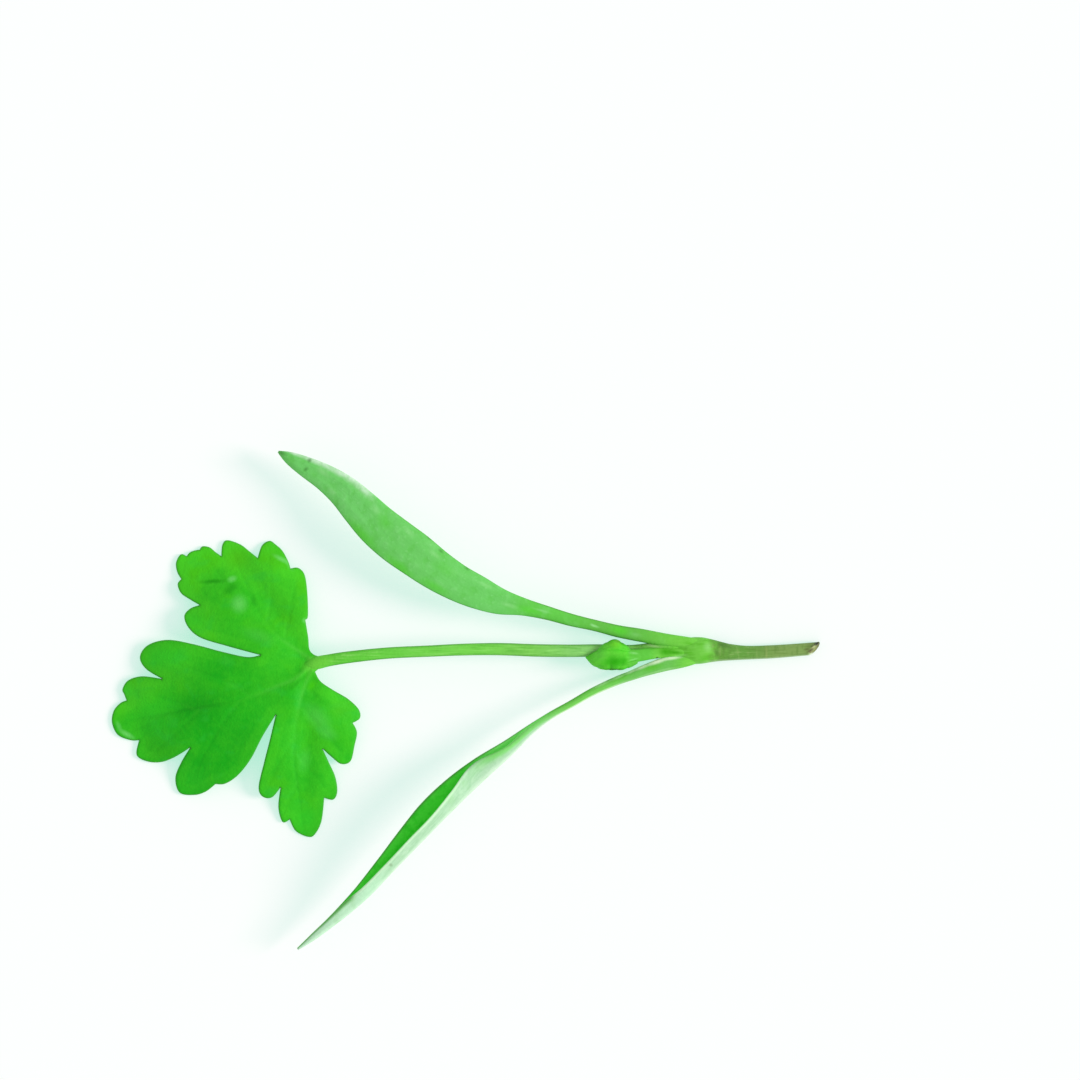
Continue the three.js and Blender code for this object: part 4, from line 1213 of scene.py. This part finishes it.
def stem_surface():
    s = Surface("stem_green")
    streaks = s.noise(0.14, 3.0, (0.07, 1.0, 1.0))
    patches = s.noise(0.8, 3.0)
    rings = s.noise(0.3, 2.0, (1.0, 0.25, 0.25))
    edge = s.add(s.x, s.vary(patches, 1.6), s.vary(streaks, 0.8))
    base = s.paint((92, 148, 52), (98, 156, 62), s.ramp(s.x, 21.6, 23.0))
    base.coat((126, 160, 84), s.ramp(s.x, 23.5, 27.0))
    base.coat((148, 182, 106), s.ramp(streaks, 0.52, 0.72, 0.0, 0.4))
    base.coat((84, 122, 44), s.ramp(streaks, 0.48, 0.3, 0.0, 0.45))
    base.coat((88, 130, 52), s.ramp(rings, 0.54, 0.7, 0.0, 0.4))
    base.coat((140, 176, 96), s.ramp(rings, 0.46, 0.3, 0.0, 0.35))
    base.coat((150, 172, 96), s.times(s.band(s.x, 25.5, 25.66, 0.08), 0.4))
    base.spots((66, 112, 42), [[21.9, 4.6, 1.4, 0.4, -14, 0.7], [21.3, 4.0, 0.5, 0.7, 0, 0.4]])
    base = s.paint(crown_colour(s), base, s.ramp(edge, 20.4, 21.5))
    pale_side = s.times(s.ramp(s.attribute("across"), -0.7, -1.0), s.ramp(s.x, 19.0, 22.0), 0.5)
    base.coat((190, 220, 170), pale_side)
    base.coat((96, 110, 60), s.ramp(s.x, 28.6, 29.6, 0.0, 0.5))
    pith = s.attribute("pith")
    base.coat((146, 156, 98), s.ramp(pith, 0.0, 0.2, 0.0, 0.8))
    base.coat((112, 92, 54), s.times(s.band(pith, 0.12, 0.3, 0.1), 0.6))
    base.coat((168, 180, 122), s.ramp(pith, 0.4, 0.9))
    seen = s.ramp(s.z, 0.0, 0.4)
    browned = [[29.35, 4.15, 0.6, 0.2, 30, 1.0], [29.0, 4.25, 0.4, 0.14, 10, 0.6]]
    base.spots((76, 74, 42), browned, seen)
    base.spots((226, 236, 210), [[29.5, 3.85, 0.5, 0.16, 25, 0.9]], seen)
    base.spots((30, 34, 40), [[29.9, 4.7, 0.4, 0.3, 20, 1.0]], seen)
    relief = s.add(s.times(streaks, 0.7), s.times(s.noise(0.3, 2.0), 0.3))
    return s.finish(base, s.ramp(streaks, 0.3, 0.7, 0.5, 0.64), 0.15, relief, 0.07)


def folded_leaf_surface():
    s = Surface("folded_leaf_green")
    clouds = s.noise(0.7, 3.0)
    fine = s.noise(0.25, 3.0)
    base = s.paint((83, 205, 45), (98, 213, 55), s.ramp(clouds, 0.35, 0.65))
    base.coat((60, 176, 18), s.ramp(fine, 0.52, 0.75, 0.0, 0.25))
    # Painted light on the lit upper-left face of the leaflets.
    base.spots((100, 210, 66), [[11.3, 3.8, 1.1, 0.8, 20, 0.8]])
    base.spots((104, 204, 40), [[12.7, 4.7, 1.0, 0.5, -10, 0.8]])
    base.spots((42, 168, 0), [[12.7, 3.2, 1.5, 0.9, 10, 1.0], [13.4, 3.2, 0.8, 0.5, 20, 0.7]])
    base.spots((30, 96, 14), [[12.7, 2.56, 1.1, 0.16, -3, 0.7], [13.3, 4.75, 0.5, 0.12, -30, 0.4]])
    base.spots((104, 120, 52), [[12.9, 4.95, 0.6, 0.14, -25, 0.5]])
    base.coat((89, 184, 60), s.ramp(s.x, 13.6, 14.2, 0.0, 0.8))
    base.spots((136, 220, 118), [[14.3, 3.95, 0.6, 0.16, -8, 0.7], [14.3, 3.4, 0.6, 0.16, 14, 0.6]])
    margin = s.ramp(s.math("ABSOLUTE", s.attribute("across")), 0.8, 1.0)
    base.coat((70, 164, 40), s.times(margin, s.ramp(s.y, 2.9, 3.5, 0.1, 0.6)))
    base.spots((66, 124, 56), [[14.5, 4.3, 0.9, 0.13, -2, 0.6]])
    base.coat(crown_colour(s), s.ramp(s.x, 15.4, 16.6))
    # Painted shade: a dark dot in the notch where the stalk meets the sheath of the folded seed leaf.
    base.spots((20, 44, 14), [[16.3, 3.52, 0.2, 0.15, 20, 0.9]])
    base.coat((150, 222, 130), s.times(s.attribute("underside"), 0.8))
    relief = s.add(s.times(clouds, 0.6), s.times(fine, 0.4))
    return s.finish(base, 0.55, 0.14, relief, 0.08)


# Stage, light and camera

def build_stage():
    mesh = bpy.data.meshes.new("floor")
    corners = [(x * FLOOR_REACH, y * FLOOR_REACH, 0.0) for x, y in ((-1, -1), (1, -1), (1, 1), (-1, 1))]
    mesh.from_pydata(corners, [], [(0, 1, 2, 3)])
    material = bpy.data.materials.new("pale_floor")
    material.use_nodes = True
    shader = material.node_tree.nodes["Principled BSDF"]
    shader.inputs["Base Color"].default_value = FLOOR_COLOUR
    shader.inputs["Roughness"].default_value = 1.0
    shader.inputs["Specular IOR Level"].default_value = 0.0
    shader.inputs["Emission Color"].default_value = FLOOR_GLOW
    shader.inputs["Emission Strength"].default_value = 1.0
    mesh.materials.append(material)
    floor = bpy.data.objects.new("floor", mesh)
    bpy.context.scene.collection.objects.link(floor)


def build_light():
    world = bpy.data.worlds.new("studio")
    world.use_nodes = True
    background = world.node_tree.nodes["Background"]
    background.inputs["Color"].default_value = (1.0, 1.0, 1.0, 1.0)
    background.inputs["Strength"].default_value = SKY_STRENGTH
    bpy.context.scene.world = world
    sun = bpy.data.lights.new("sun", "SUN")
    sun.energy = SUN_STRENGTH
    sun.angle = math.radians(SUN_WIDTH)
    lamp = bpy.data.objects.new("sun", sun)
    lamp.rotation_euler = (0.0, math.radians(SUN_TILT), 0.0)
    bpy.context.scene.collection.objects.link(lamp)
    bpy.context.scene.view_settings.view_transform = "Standard"


def build_camera():
    data = bpy.data.cameras.new("camera")
    data.lens = LENS
    data.sensor_width = SENSOR
    camera = bpy.data.objects.new("camera", data)
    half = PHOTO_PIXELS / 2.0
    frame_width = PHOTO_PIXELS * MM_PER_PIXEL
    camera.location = (
        (half - ORIGIN_PIXEL[0]) * MM_PER_PIXEL * MM,
        (ORIGIN_PIXEL[1] - half) * MM_PER_PIXEL * MM,
        LENS / SENSOR * frame_width * MM,
    )
    bpy.context.scene.collection.objects.link(camera)
    bpy.context.scene.camera = camera


build_stage()
build_light()
build_camera()
leaf_green = true_leaf_surface()
build_true_leaf_blade(leaf_green)
build_true_leaf_stalk(leaf_green)
build_upper_seed_leaf(upper_seed_leaf_surface())
build_lower_seed_leaf(lower_seed_leaf_surface())
build_stem(stem_surface())
build_folded_leaf(folded_leaf_surface())
